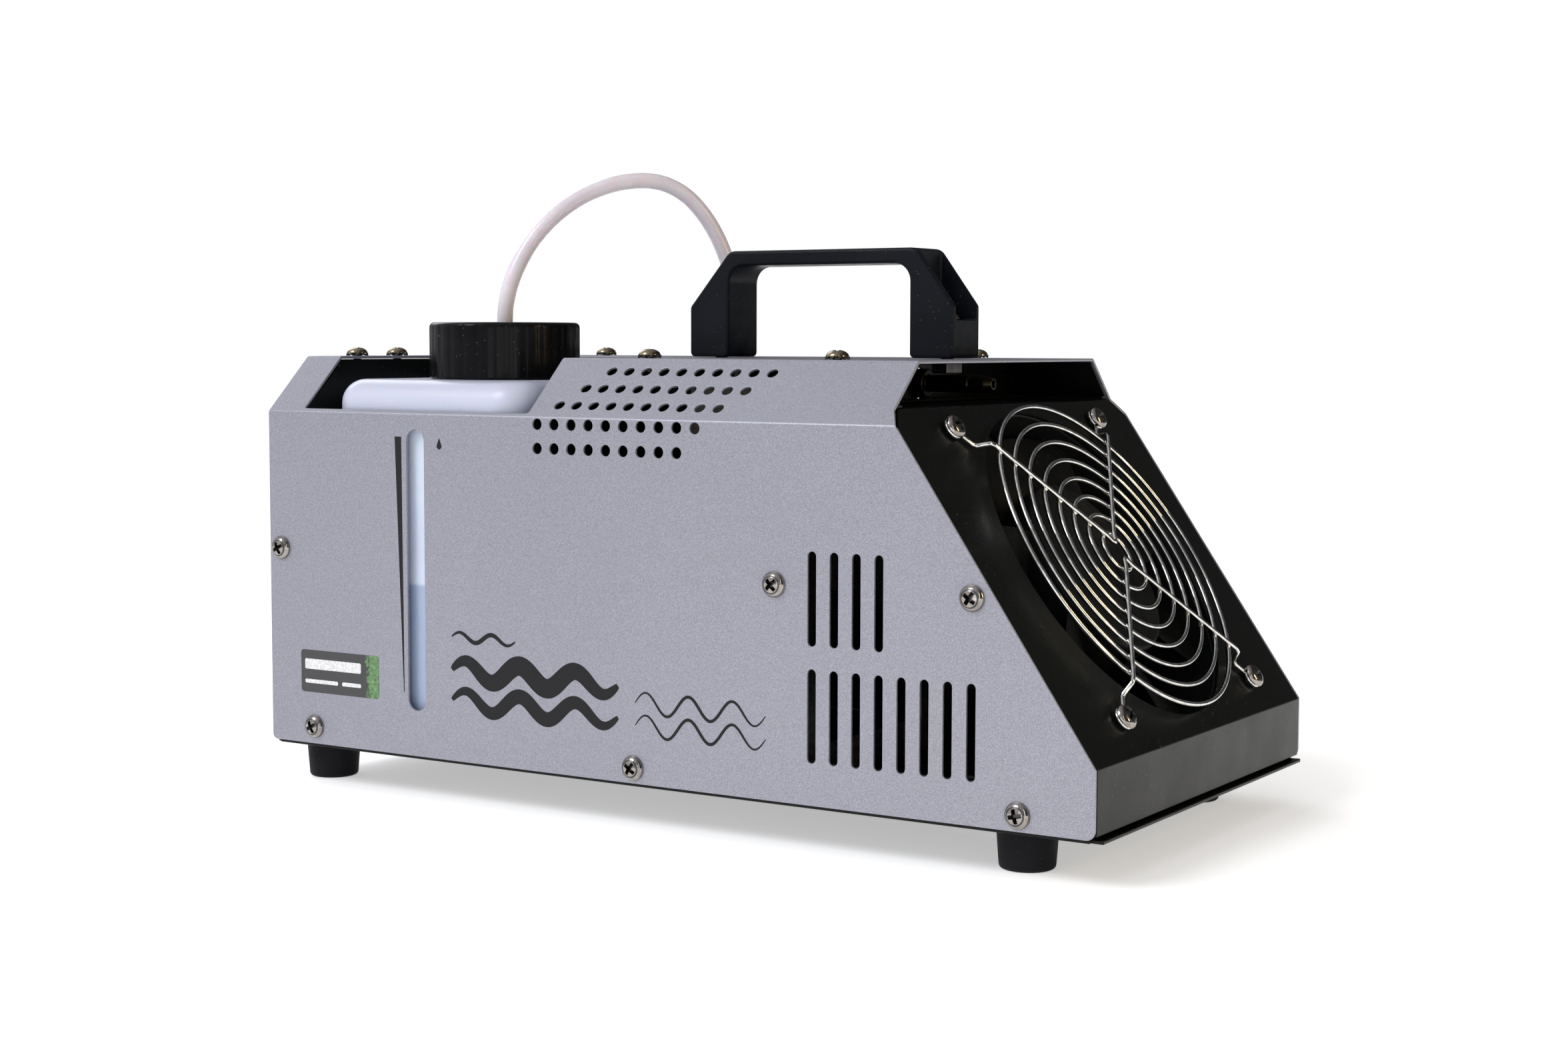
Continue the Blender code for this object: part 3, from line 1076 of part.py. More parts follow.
def make_pump():
    """Solenoid pump: coil block on a through tube, the piston inside it, and its bracket."""
    block = bmesh.new()
    add_box(block, (-0.0170, PUMP_Y - 0.0160, PUMP_Z - 0.0160),
            (0.0170, PUMP_Y + 0.0160, PUMP_Z + 0.0160))
    bmesh.ops.bevel(block, geom=block.edges[:], offset=0.002, segments=1, affect="EDGES")
    pump = add_part("pump_body", block, GLOSS_BLACK)
    tube = bmesh.new()
    add_rod(tube, (-PUMP_END, PUMP_Y, PUMP_Z), (PUMP_END, PUMP_Y, PUMP_Z), 0.0060, segments=16)
    join(pump, tube)
    bore = bmesh.new()
    add_rod(bore, (-PUMP_END - 0.001, PUMP_Y, PUMP_Z), (PUMP_END + 0.001, PUMP_Y, PUMP_Z),
            0.0034, segments=14)
    cut(pump, bore)
    piston = bmesh.new()
    add_rod(piston, (-0.0120, 0, 0), (0.0120, 0, 0), 0.0030, segments=14)
    add_part("pump_piston", piston, STEEL, Matrix.Translation((0.0, PUMP_Y, PUMP_Z)))
    floor_z = TRAY_Z + PANEL_SHEET + GAP
    half, thin = 0.0172, 0.0010
    seat = PUMP_Z - 0.0160 - GAP
    profile = [(-0.0290, floor_z + thin), (-half, floor_z + thin), (-half, seat),
               (half, seat), (half, floor_z + thin), (0.0290, floor_z + thin)]
    length = sum((Vector(b) - Vector(a)).length for a, b in zip(profile, profile[1:]))
    outline = rectangle((0.0, PUMP_Y - 0.014), (length, PUMP_Y + 0.014))
    bolt = 0.006
    holes = [circle((s, PUMP_Y), 0.0018) for s in (bolt, length - bolt)]
    plate = folded_sheet(outline, holes, thin, profile, across_y, -1)
    add_part("pump_bracket", plate, STEEL, smooth_degrees=20)


# ---------------------------------------------------------------- electrics
def make_boards():
    """Power board on the tray, its transformer, and the control board behind the display."""
    floor_z = TRAY_Z + PANEL_SHEET + GAP
    board_z = floor_z + 0.006
    thick = 0.0016
    board = bmesh.new()
    add_box(board, (-0.1250, 0.0200, board_z), (-0.0520, 0.0780, board_z + thick))
    power = add_part("power_board", board, BOARD)
    items = bmesh.new()
    for x in (-0.1200, -0.0570):
        for y in (0.0250, 0.0730):
            add_rod(items, (x, y, floor_z), (x, y, board_z + 0.0005), 0.0030, segments=8)
    on_board = board_z + thick - 0.0005
    add_rod(items, (-0.0650, 0.0640, on_board), (-0.0650, 0.0640, on_board + 0.026), 0.0080)
    add_rod(items, (-0.0650, 0.0450, on_board), (-0.0650, 0.0450, on_board + 0.018), 0.0060)
    add_box(items, (-0.0840, 0.0240, on_board), (-0.0680, 0.0360, on_board + 0.0150))
    add_box(items, (-0.1200, 0.0500, on_board), (-0.1140, 0.0720, on_board + 0.0220))
    join(power, items)
    transformer = bmesh.new()
    core_low = board_z + thick + GAP
    add_box(transformer, (-0.1060, 0.0420, core_low), (-0.0780, 0.0740, core_low + 0.0260))
    core = add_part("mains_transformer", transformer, STEEL)
    coil = bmesh.new()
    add_box(coil, (-0.1110, 0.0480, core_low + 0.004), (-0.0730, 0.0680, core_low + 0.022))
    join(core, coil)

    control = bmesh.new()
    add_box(control, (-0.1500, 0.0140, 0.1040), (-0.1484, 0.0800, 0.1345))
    control_board = add_part("control_board", control, BOARD)
    fittings = bmesh.new()
    y, z = DISPLAY_CENTRE
    add_box(fittings, (-0.1590, y - 0.018, z - 0.009), (-0.1495, y + 0.018, z + 0.009))
    for y, z in BUTTON_CENTRES:
        add_box(fittings, (-0.1572, y - 0.003, z - 0.003), (-0.1495, y + 0.003, z + 0.003))
    join(control_board, fittings)


def make_display():
    """Smoked window over the display, flush in its cut-out, with four menu buttons."""
    y, z = DISPLAY_CENTRE
    half_w, half_h = DISPLAY_SIZE[0] / 2, DISPLAY_SIZE[1] / 2
    window = bmesh.new()
    add_box(window, (REAR_FACE_X - 0.0010, y - half_w, z - half_h),
            (REAR_FACE_X + PANEL_SHEET, y + half_w, z + half_h))
    add_part("display_window", window, SMOKED)
    stem = [(0.0, 0.0030), (BUTTON_RADIUS - 0.0005, 0.0030), (BUTTON_RADIUS, 0.0025),
            (BUTTON_RADIUS, -0.0018), (0.0042, -0.0018), (0.0042, -0.0026),
            (0.0018, -0.0026), (0.0018, -0.0037), (0.0, -0.0037)]
    for i, (y, z) in enumerate(BUTTON_CENTRES, start=1):
        bm = bmesh.new()
        add_turned(bm, stem, segments=10)
        add_part(f"menu_button_{i}", bm, GLOSS_BLACK, facing((REAR_FACE_X, y, z), (-1, 0, 0)))


def make_inlet():
    """Mains inlet with three pins, and the fuse drawer under it."""
    y, z = INLET_CENTRE
    face_x = REAR_FACE_X - 0.0030
    body = bmesh.new()
    add_box(body, (REAR_FACE_X - GAP - 0.0001, y - 0.0134, z - 0.0154),
            (-0.1400, y + 0.0134, z + 0.0154))
    inlet = add_part("iec_inlet", body, BLACK_PLASTIC)
    flange = bmesh.new()
    add_box(flange, (face_x, y - 0.0153, z - 0.0172),
            (REAR_FACE_X - GAP, y + 0.0153, z + 0.0172))
    join(inlet, flange)
    hollow = bmesh.new()
    socket = [(-0.0122, -0.0078), (0.0122, -0.0078), (0.0122, 0.0030), (0.0072, 0.0078),
              (-0.0072, 0.0078), (-0.0122, 0.0030)]
    add_prism(hollow, [(y + u, z + 0.0048 + v) for u, v in socket], face_x - 0.001, -0.1490)
    cut(inlet, hollow)
    drawer_well = bmesh.new()
    add_box(drawer_well, (face_x - 0.001, y - 0.0110, z - 0.0140),
            (-0.1440, y + 0.0110, z - 0.0062))
    cut(inlet, drawer_well)
    pins = bmesh.new()
    for u, v in ((-0.0070, 0.0065), (0.0070, 0.0065), (0.0, 0.0028)):
        add_box(pins, (-0.1587, y + u - 0.0010, z + v - 0.0020),
                (-0.1480, y + u + 0.0010, z + v + 0.0020))
    join(inlet, pins)

    drawer = bmesh.new()
    add_box(drawer, (face_x - 0.0003, y - 0.0106, z - 0.0136), (-0.1450, y + 0.0106, z - 0.0066))
    fuse_drawer = add_part("fuse_drawer", drawer, BLACK_PLASTIC)
    tab = bmesh.new()
    add_box(tab, (-TRAY_FRONT_X, y - 0.0050, z - 0.0112), (face_x + 0.002, y + 0.0050, z - 0.0090))
    join(fuse_drawer, tab)
    pocket = bmesh.new()
    add_box(pocket, (-0.1600, y - 0.0085, z - 0.0125), (-0.1475, y + 0.0085, z - 0.0060))
    cut(fuse_drawer, pocket)


def add_prism(bm, outline, x_low, x_high):
    """A solid with an outline of (y, z) points between two x planes."""
    face = bm.faces.new([bm.verts.new((x_low, y, z)) for y, z in outline])
    made = bmesh.ops.extrude_face_region(bm, geom=[face])["geom"]
    verts = [item for item in made if isinstance(item, bmesh.types.BMVert)]
    bmesh.ops.translate(bm, verts=verts, vec=(x_high - x_low, 0, 0))


def make_rocker():
    """Switch body with a frame, and the rocker tilted on its pivot."""
    y, z = ROCKER_CENTRE
    body = bmesh.new()
    add_box(body, (REAR_FACE_X - GAP - 0.0001, y - 0.0064, z - 0.0095),
            (-0.1450, y + 0.0064, z + 0.0095))
    bezel = add_part("rocker_bezel", body, BLACK_PLASTIC)
    frame = bmesh.new()
    add_box(frame, (REAR_FACE_X - 0.0018, y - 0.0076, z - 0.0107),
            (REAR_FACE_X - GAP, y + 0.0076, z + 0.0107))
    join(bezel, frame)
    well = bmesh.new()
    add_box(well, (REAR_FACE_X - 0.003, y - 0.0054, z - 0.0087), (-0.1555, y + 0.0054, z + 0.0087))
    cut(bezel, well)
    # Outline about the pivot in (out, up), turned into the rocker's own x and z.
    shape = [(0.0026, 0.0078), (0.0040, 0.0), (0.0026, -0.0078), (-0.0015, -0.0074),
             (-0.0040, -0.0025), (-0.0040, 0.0025), (-0.0015, 0.0074)]
    half = 0.0051
    plate = flat_plate([(-out, up) for out, up in shape], [], half * 2)
    bmesh.ops.rotate(plate, cent=(0, 0, 0), matrix=Matrix.Rotation(math.pi / 2, 3, "X"),
                     verts=plate.verts)
    pivot = Matrix.Translation((ROCKER_PIVOT_X, y, z)) @ Matrix.Rotation(-ROCKER_TILT, 4, "Y")
    add_part("power_rocker", plate, RED_PLASTIC, pivot)


def data_socket(name, centre):
    """Flanged round socket shell, solid until its cavity is cut."""
    y, z = centre
    flange = bmesh.new()
    add_box(flange, (REAR_FACE_X - 0.0022, y - 0.0130, z - 0.0155),
            (REAR_FACE_X - GAP, y + 0.0130, z + 0.0155))
    vertical = [e for e in flange.edges if abs(e.verts[0].co.x - e.verts[1].co.x) > 0.001]
    bmesh.ops.bevel(flange, geom=vertical, offset=0.003, segments=2, affect="EDGES")
    part = add_part(name, flange, BLACK_PLASTIC)
    barrel = bmesh.new()
    add_rod(barrel, (REAR_FACE_X - 0.0034, y, z), (-0.1420, y, z), 0.0118, segments=24)
    join(part, barrel)
    return part


def pin_places(centre):
    """The three contacts of a data plug, on a circle."""
    return [(centre[0] + 0.0045 * math.cos(math.radians(a)),
             centre[1] + 0.0045 * math.sin(math.radians(a))) for a in (30, 150, 270)]


def make_data_sockets():
    face_x = REAR_FACE_X - 0.0034
    y, z = DATA_IN_CENTRE
    socket = data_socket("dmx_in_socket", DATA_IN_CENTRE)
    hollow = bmesh.new()
    add_rod(hollow, (face_x - 0.001, y, z), (-0.1490, y, z), 0.0096, segments=24)
    cut(socket, hollow)
    pins = bmesh.new()
    for pin_y, pin_z in pin_places(DATA_IN_CENTRE):
        add_rod(pins, (-0.1480, pin_y, pin_z), (-0.1585, pin_y, pin_z), 0.0012, segments=8)
    join(socket, pins)

    y, z = DATA_OUT_CENTRE
    socket = data_socket("dmx_out_socket", DATA_OUT_CENTRE)
    ring = bmesh.new()
    groove, above = -0.0116, 0.0010
    profile = [(0.0096, above), (0.0074, above), (0.0074, groove), (0.0096, groove)]
    add_turned(ring, profile, facing((face_x, y, z), (-1, 0, 0)), segments=24, closed=True)
    cut(socket, ring)
    contacts = bmesh.new()
    for pin_y, pin_z in pin_places((y, z)):
        add_rod(contacts, (face_x - 0.001, pin_y, pin_z), (-0.1560, pin_y, pin_z), 0.0015,
                segments=8)
    cut(socket, contacts)
    latch_slot = bmesh.new()
    add_box(latch_slot, (face_x - 0.001, y - 0.0039, z + 0.0119), (-0.1600, y + 0.0039, z + 0.0149))
    cut(socket, latch_slot)
    latch = bmesh.new()
    add_box(latch, (face_x - 0.0008, y - 0.0035, z + 0.0123), (-0.1637, y + 0.0035, z + 0.0145))
    add_part("xlr_latch", latch, STEEL)


make_cover()
make_tray()
make_front_panel()
make_outlet_liner()
make_rear_panel()
make_tank_bay()
make_inner_bracket()
make_handle()
make_handle_bolts()
make_feet()
make_cover_screws()
make_fan_guard()
make_guard_screws()
make_fan_frame()
make_stator()
make_rotor()
make_heater()
make_outlet()
make_bottle()
make_fluid()
make_pickup()
make_cap()
make_hoses()
make_pump()
make_boards()
make_display()
make_inlet()
make_rocker()
make_data_sockets()
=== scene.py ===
"""Looks of the fog machine: fine sheet metal, screws, guard, bottle, hose and materials.

Frame as in the CAD: +X is the slanted fan front, -Y the side with the fluid window, +Z up,
in metres.
"""
import math
import random

import bmesh
import bpy
import numpy as np
from mathutils import Matrix, Vector
from mathutils.geometry import delaunay_2d_cdt


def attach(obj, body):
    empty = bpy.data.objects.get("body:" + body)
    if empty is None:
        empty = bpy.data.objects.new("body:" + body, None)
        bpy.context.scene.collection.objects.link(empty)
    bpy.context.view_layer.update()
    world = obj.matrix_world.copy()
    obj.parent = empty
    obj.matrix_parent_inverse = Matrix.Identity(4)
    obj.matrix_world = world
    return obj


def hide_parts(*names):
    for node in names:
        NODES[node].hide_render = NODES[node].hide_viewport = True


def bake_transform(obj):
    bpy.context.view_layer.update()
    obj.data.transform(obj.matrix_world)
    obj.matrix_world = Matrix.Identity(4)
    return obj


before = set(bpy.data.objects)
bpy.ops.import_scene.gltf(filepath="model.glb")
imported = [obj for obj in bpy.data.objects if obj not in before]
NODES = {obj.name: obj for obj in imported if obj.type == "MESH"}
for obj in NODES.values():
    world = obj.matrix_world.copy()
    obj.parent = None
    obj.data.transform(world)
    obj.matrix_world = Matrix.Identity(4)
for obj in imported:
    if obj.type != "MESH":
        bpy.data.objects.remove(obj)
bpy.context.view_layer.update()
random.seed(7)

# ---------------------------------------------------------------- dimensions
# Those of the CAD, but for the cap, hose, vents and screw heads, which follow the photo closer.
HALF_WIDTH, TOP_HALF_WIDTH = 0.08425, 0.06365
REAR_X, FRONT_X = -0.1625, 0.1663
COVER_BOTTOM, BEND_Z, TOP_Z = 0.015, 0.1348, 0.1545
LIP_TOP_Z = 0.036
PANEL_TOP_X, PANEL_TOP_Z = 0.0951, 0.1398
COVER_SHEET, PANEL_SHEET, GAP = 0.0010, 0.0012, 0.0003
TRAY_Z = 0.0138
INSIDE_HALF_WIDTH = HALF_WIDTH - COVER_SHEET - 0.00035
FAN_ALONG_SLANT, FAN_HOLE_RADIUS, FAN_HOLE_PITCH = 0.0645, 0.0575, 0.0525
FAN_SIZE, FAN_DEPTH = 0.1190, 0.0254
CUTOUT_X, CUTOUT_Y_MAX, CUTOUT_LOWER_RIM = (-0.1460, -0.0440), 0.01075, 0.0018
BOTTLE_LOW, BOTTLE_HIGH = Vector((-0.1375, -0.0810, 0.0176)), Vector((-0.0480, 0.0080, 0.1465))
BOTTLE_WALL, FLUID_TOP_Z = 0.0018, 0.0750
CAP_CENTRE = Vector((-0.0903, -0.0380, 0.0))
CAP_RADIUS, CAP_LOW_Z, CAP_TOP_Z = 0.0270, 0.1467, 0.1668
NECK_RADIUS, NECK_BORE, NECK_TOP_Z = 0.0220, 0.0195, 0.1624
HOSE_RADIUS, HOSE_HOLE = 0.0028, 0.0031
GROMMET_CENTRE = Vector((-0.0385, 0.0365, TOP_Z))
HANDLE_X, HANDLE_HALF_WIDTH, HANDLE_TOP_Z = (-0.0287, 0.0777), 0.00985, 0.1920
HANDLE_BOLT_X, HANDLE_BOLT_HOLE, POCKET_FLOOR_Z = (-0.0215, 0.0705), 0.0029, 0.1675
BACK_WALL_X = 0.0600
NOZZLE_Z, NOZZLE_TIP_X, NOZZLE_RADIUS, NOZZLE_COLLAR = 0.1462, 0.0883, 0.0029, 0.0050
SCREW_HEAD, SCREW_HEAD_HEIGHT, SCREW_SHANK, SCREW_HOLE = 0.0042, 0.0024, 0.0016, 0.0021
SIDE_SCREWS = ((-0.1569, 0.0853), (0.0001, 0.0202), (0.1253, 0.0840))
MORE_SIDE_SCREWS = ((-0.1416, 0.0213), (0.1411, 0.0200), (0.0550, 0.0841))
TOP_SCREWS = (
    (-0.1525, -0.048), (-0.1525, -0.026), (-0.1525, 0.0255), (-0.1525, 0.048),
    (-0.1155, 0.057), (-0.0160, -0.052), (0.0615, -0.057), (0.0520, 0.057),
)
SLOT_WIDTH, SLOT_PITCH, FIRST_SLOT_X = 0.0030, 0.00803, 0.06895
LOW_SLOTS, HIGH_SLOTS = (8, 0.0285, 0.0582), (4, 0.0654, 0.0952)
WINDOW_X, WINDOW_WIDTH, WINDOW_Z = -0.0930, 0.0078, (0.0312, 0.1295)
VENT_RADIUS, VENT_PITCH = 0.0019, 0.0071
FOOT_X, FOOT_Y = (-0.1505, 0.1350), 0.0650
FOOT_RADIUS, FOOT_TIP_RADIUS, FOOT_HEIGHT = 0.00975, 0.00875, 0.0135
REAR_FACE_X = REAR_X + GAP
INLET_CENTRE, ROCKER_CENTRE = (0.0340, 0.0400), (0.0660, 0.0400)
DATA_IN_CENTRE, DATA_OUT_CENTRE = (0.0300, 0.0820), (0.0640, 0.0820)
DISPLAY_CENTRE, DISPLAY_SIZE = (0.0340, 0.1200), (0.0380, 0.0200)
BUTTON_CENTRES = ((0.0620, 0.1265), (0.0740, 0.1265), (0.0620, 0.1140), (0.0740, 0.1140))
BUTTON_RADIUS, BUTTON_HOLE = 0.0032, 0.0036
RIM, PANEL_INSET, EDGE_BAND = 0.00025, 0.0012, 0.0009

SIDE_LENGTH = BEND_Z - COVER_BOTTOM
CHAMFER_LENGTH = math.hypot(HALF_WIDTH - TOP_HALF_WIDTH, TOP_Z - BEND_Z)
FLAT_WIDTH = 2 * (SIDE_LENGTH + CHAMFER_LENGTH + TOP_HALF_WIDTH)
SLANT_LENGTH = math.hypot(FRONT_X - PANEL_TOP_X, PANEL_TOP_Z - LIP_TOP_Z)
UP_SLANT = Vector((PANEL_TOP_X - FRONT_X, 0.0, PANEL_TOP_Z - LIP_TOP_Z)) / SLANT_LENGTH
PANEL_NORMAL = Vector((UP_SLANT.z, 0.0, -UP_SLANT.x))
FAN_CENTRE = Vector((FRONT_X, 0.0, LIP_TOP_Z)) + UP_SLANT * FAN_ALONG_SLANT
FAN_PLACE = Matrix.Translation(FAN_CENTRE) @ Matrix.Rotation(
    math.atan2(PANEL_NORMAL.x, PANEL_NORMAL.z), 4, "Y")
CORNERS = ((-1, -1), (-1, 1), (1, -1), (1, 1))
UPRIGHT = Matrix.Rotation(math.pi / 2, 4, "X")
WIRE, RING_HEIGHT, RING_PITCH, OUTER_RING, BEAD = 0.0008, 0.0050, 0.0071, 0.0568, 0.00098
SPOKE_HEIGHT, EYE_RADIUS, EYE_HEIGHT = RING_HEIGHT + 1.45 * WIRE, 0.0031, WIRE + 0.0005
SCREW_SINK, GUARD_TOP = 0.0001, 2 * WIRE + 0.0007
FRAME_FRONT, ROTOR_RADIUS, HUB_RADIUS = -(PANEL_SHEET + GAP), 0.0552, 0.0320
PRINT, LABEL_SHEET = 0.00006, 0.00014


def add_object(name, data, place=None):
    item = bpy.data.objects.new(name, data)
    bpy.context.scene.collection.objects.link(item)
    if place is not None:
        item.matrix_world = place
    return item


def facing(point, direction):
    turn = Vector(direction).to_track_quat("Z", "Y").to_matrix().to_4x4()
    return Matrix.Translation(Vector(point)) @ turn


# ---------------------------------------------------------------- camera
camera = add_object("camera", bpy.data.cameras.new("camera"))
camera.data.lens, camera.data.sensor_width = 54.23, 36.0
camera.data.clip_start = 0.05
CAMERA_AT = Vector((0.4537, -0.70655, 0.16073))
FORWARD, RIGHT = Vector((-0.534313, 0.841773, -0.076995)), Vector((0.844169, 0.536071, 0.002584))
UP = RIGHT.cross(FORWARD)
camera.matrix_world = Matrix.Translation(CAMERA_AT) @ Matrix(
    (RIGHT, UP, -FORWARD)).transposed().to_4x4()
bpy.context.scene.camera = camera
bpy.context.scene.view_settings.view_transform = "Standard"


# ---------------------------------------------------------------- materials
class Look:
    """A Principled material with its detail nodes in object space."""

    def __init__(self, name, colour, roughness, metallic=0.0, **sockets):
        self.material = bpy.data.materials.new(name)
        self.material.use_nodes = True
        self.tree = self.material.node_tree
        self.shader = self.tree.nodes["Principled BSDF"]
        self.set("Base Color", (*colour, 1.0))
        self.set("Roughness", roughness)
        self.set("Metallic", metallic)
        for socket, value in sockets.items():
            self.set(socket.replace("_", " "), value)
        self.place = self.tree.nodes.new("ShaderNodeTexCoord").outputs["Object"]
        self.normal = None

    def set(self, socket, value):
        self.shader.inputs[socket].default_value = value

    def node(self, kind, **inputs):
        node = self.tree.nodes.new("ShaderNode" + kind)
        for name, value in inputs.items():
            self.feed(node.inputs[name.replace("_", " ")], value)
        return node

    def feed(self, socket, value):
        if isinstance(value, bpy.types.NodeSocket):
            self.tree.links.new(value, socket)
        else:
            socket.default_value = value

    def noise(self, scale, detail=3.0, roughness=0.5, stretch=None):
        place = self.place
        if stretch:
            mapping = self.node("Mapping", Vector=place)
            mapping.inputs["Scale"].default_value = stretch
            place = mapping.outputs["Vector"]
        node = self.node("TexNoise", Vector=place, Scale=scale, Detail=detail, Roughness=roughness)
        return node.outputs["Fac"]

    def cells(self, scale, feature="F1"):
        node = self.node("TexVoronoi", Vector=self.place, Scale=scale)
        node.feature = feature
        return node.outputs["Distance"]

    def ramp(self, source, *stops):
        """Map a factor through (position, value) stops; a value is a number or a colour."""
        node = self.node("ValToRGB", Fac=source)
        elements = node.color_ramp.elements
        while len(elements) < len(stops):
            elements.new(0.5)
        for element, (position, value) in zip(elements, stops):
            element.position = position
            value = value if isinstance(value, tuple) else (value,) * 3
            element.color = (*value, 1.0)
        return node.outputs["Color"]

    def patches(self, scale, detail, low, high, start=0.3, end=0.7):
        """Noise that goes from one number or colour to another."""
        return self.ramp(self.noise(scale, detail), (start, low), (end, high))

    def mix(self, factor, a, b, blend="MIX"):
        node = self.node("Mix")
        node.data_type, node.blend_type = "RGBA", blend
        for socket, value in ((0, factor), (6, a), (7, b)):
            if isinstance(value, tuple):
                value = (*value, 1.0)
            self.feed(node.inputs[socket], value)
        return node.outputs[2]

    def multiply(self, a, b, kind="MULTIPLY"):
        node = self.node("Math")
        node.operation = kind
        self.feed(node.inputs[0], a)
        self.feed(node.inputs[1], b)
        return node.outputs[0]

    def height_above(self, z, fade):
        """0 below an object-space height and 1 above it."""
        return self.between(self.axis("Z"), z - fade, z + fade)

    def axis(self, letter):
        return self.node("SeparateXYZ", Vector=self.place).outputs[letter]

    def between(self, value, low, high):
        """0 at the low value and 1 at the high one."""
        node = self.node("MapRange", Value=value, From_Min=low, From_Max=high)
        return node.outputs["Result"]

    def bump(self, height, distance, strength=1.0):
        node = self.node("Bump", Height=height, Distance=distance, Strength=strength)
        if self.normal is not None:
            self.feed(node.inputs["Normal"], self.normal)
        self.normal = node.outputs["Normal"]
        self.feed(self.shader.inputs["Normal"], self.normal)

    def paint(self, colour, roughness=None):
        self.feed(self.shader.inputs["Base Color"], colour)
        if roughness is not None:
            self.feed(self.shader.inputs["Roughness"], roughness)

    def dust(self, base, colour, scale, amount):
        """Sparse pale specks, in patches, over a dark surface."""
        specks = self.ramp(self.cells(scale), (0.0, 1.0), (0.05 + 0.05 * amount, 1.0),
                           (0.09 + 0.08 * amount, 0.0))
        patches = self.patches(14.0, 4.0, 0.0, 1.0, 0.42, 0.70)
        return self.mix(self.multiply(self.multiply(specks, patches), amount), base, colour)


def silver_look():
    look = Look("silver_powder_coat", (0.375, 0.372, 0.405), 0.42, 0.5, Coat_Weight=0.12,
                Coat_Roughness=0.30)
    grain = look.noise(3000.0, 2.0, 0.6)
    sparkle = look.ramp(grain, (0.32, (0.245, 0.247, 0.285)), (0.50, (0.322, 0.324, 0.372)),
                        (0.68, (0.415, 0.417, 0.475)))
    cloud = look.patches(9.0, 3.0, 0.95, 1.0)
    look.paint(look.mix(1.0, sparkle, cloud, "MULTIPLY"), look.patches(1500.0, 2.0, 0.36, 0.50))
    look.bump(look.noise(1800.0, 2.0), 0.00002, 0.4)
    look.bump(look.cells(3400.0), 0.00002, 0.3)
    return look.material


def black_sheet_look():
    look = Look("black_powder_coat", (0.004, 0.005, 0.004), 0.30)
    look.set("Specular IOR Level", 0.17)
    base = look.patches(5.0, 3.0, (0.0028, 0.0035, 0.0028), (0.0050, 0.0060, 0.0048))
    look.paint(look.dust(base, (0.13, 0.13, 0.11), 330.0, 0.55),
               look.patches(60.0, 4.0, 0.26, 0.34, 0.35, 0.65))
    look.bump(look.noise(850.0, 2.0), 0.00004, 0.45)
    look.bump(look.noise(2400.0, 1.0), 0.00001, 0.5)
    return look.material


def metal_look(name, colour, roughness, streak=None, spots=0.06):
    look = Look(name, colour, roughness, 1.0)
    stain = look.patches(420.0, 4.0, 0.0, 1.0, 0.35, 0.75)
    dark = tuple(c * 0.62 for c in colour)
    look.paint(look.mix(stain, colour, dark),
               look.patches(900.0, 3.0, max(0.03, roughness - spots), roughness + spots))
    if streak:
        look.bump(look.noise(300.0, 3.0, stretch=streak), 0.00002, 0.4)
    else:
        look.bump(look.noise(1300.0, 2.0), 0.00001, 0.35)
    return look.material


def plastic_look(name, colour, roughness, grain=900.0, depth=0.00004, gloss=0.0, dusty=0.35):
    look = Look(name, colour, roughness, 0.0, Coat_Weight=gloss, Coat_Roughness=0.08)
    look.set("Specular IOR Level", 0.10)
    lighter = tuple(min(1.0, c * 1.5 + 0.002) for c in colour)
    base = look.patches(35.0, 4.0, colour, lighter, 0.35, 0.7)
    if dusty:
        base = look.dust(base, (0.22, 0.22, 0.22), 420.0, dusty)
    look.paint(base, look.patches(180.0, 4.0, max(0.04, roughness - 0.06), roughness + 0.06,
                                  0.35, 0.65))
    look.bump(look.cells(grain, "SMOOTH_F1"), depth, 0.6)
    look.bump(look.noise(grain * 2.2, 2.0), depth * 0.3, 0.5)
    return look.material


def bottle_look():
    look = Look("milky_bottle", (0.70, 0.74, 0.84), 0.33, 0.0, Subsurface_Weight=0.35,
                Subsurface_Scale=0.006, Coat_Weight=0.2, Coat_Roughness=0.2)
    empty = look.patches(28.0, 3.0, (0.68, 0.72, 0.88), (0.75, 0.79, 0.94))
    full = look.patches(22.0, 3.0, (0.37, 0.45, 0.62), (0.41, 0.49, 0.67))
    # Painted shade: above 0.132 m the shoulder gets a darker colour, to hold down the light
    # falling on the bottle's top.
    shoulder = look.mix(look.height_above(0.132, 0.004), empty, (0.60, 0.62, 0.75))
    look.paint(look.mix(look.height_above(FLUID_TOP_Z, 0.0006), full, shoulder),
               look.patches(90.0, 3.0, 0.28, 0.40))
    dimples = look.ramp(look.cells(115.0), (0.0, 0.0), (0.10, 0.7), (0.16, 1.0))
    look.bump(dimples, 0.00035, 0.5)
    look.bump(look.noise(45.0, 3.0), 0.0006, 0.25)
    return look.material


def hose_look():
    look = Look("milky_tube", (0.80, 0.76, 0.82), 0.25, 0.0, Subsurface_Weight=0.6,
                Subsurface_Scale=0.003, Coat_Weight=0.35, Coat_Roughness=0.12, IOR=1.42)
    look.paint(look.patches(60.0, 3.0, (0.74, 0.70, 0.77), (0.84, 0.81, 0.85)),
               look.patches(200.0, 2.0, 0.20, 0.30))
    look.bump(look.noise(140.0, 2.0), 0.0001, 0.2)
    return look.material


def board_look():
    look = Look("circuit_board", (0.015, 0.12, 0.045), 0.35, 0.0, Coat_Weight=0.5,
                Coat_Roughness=0.15)
    tracks = look.ramp(look.cells(340.0, "DISTANCE_TO_EDGE"), (0.0, 1.0), (0.06, 1.0), (0.09, 0.0))
    look.paint(look.mix(tracks, (0.015, 0.12, 0.045), (0.03, 0.24, 0.08)),
               look.patches(200.0, 2.0, 0.3, 0.45))
    look.bump(tracks, 0.00006, 0.6)
    return look.material


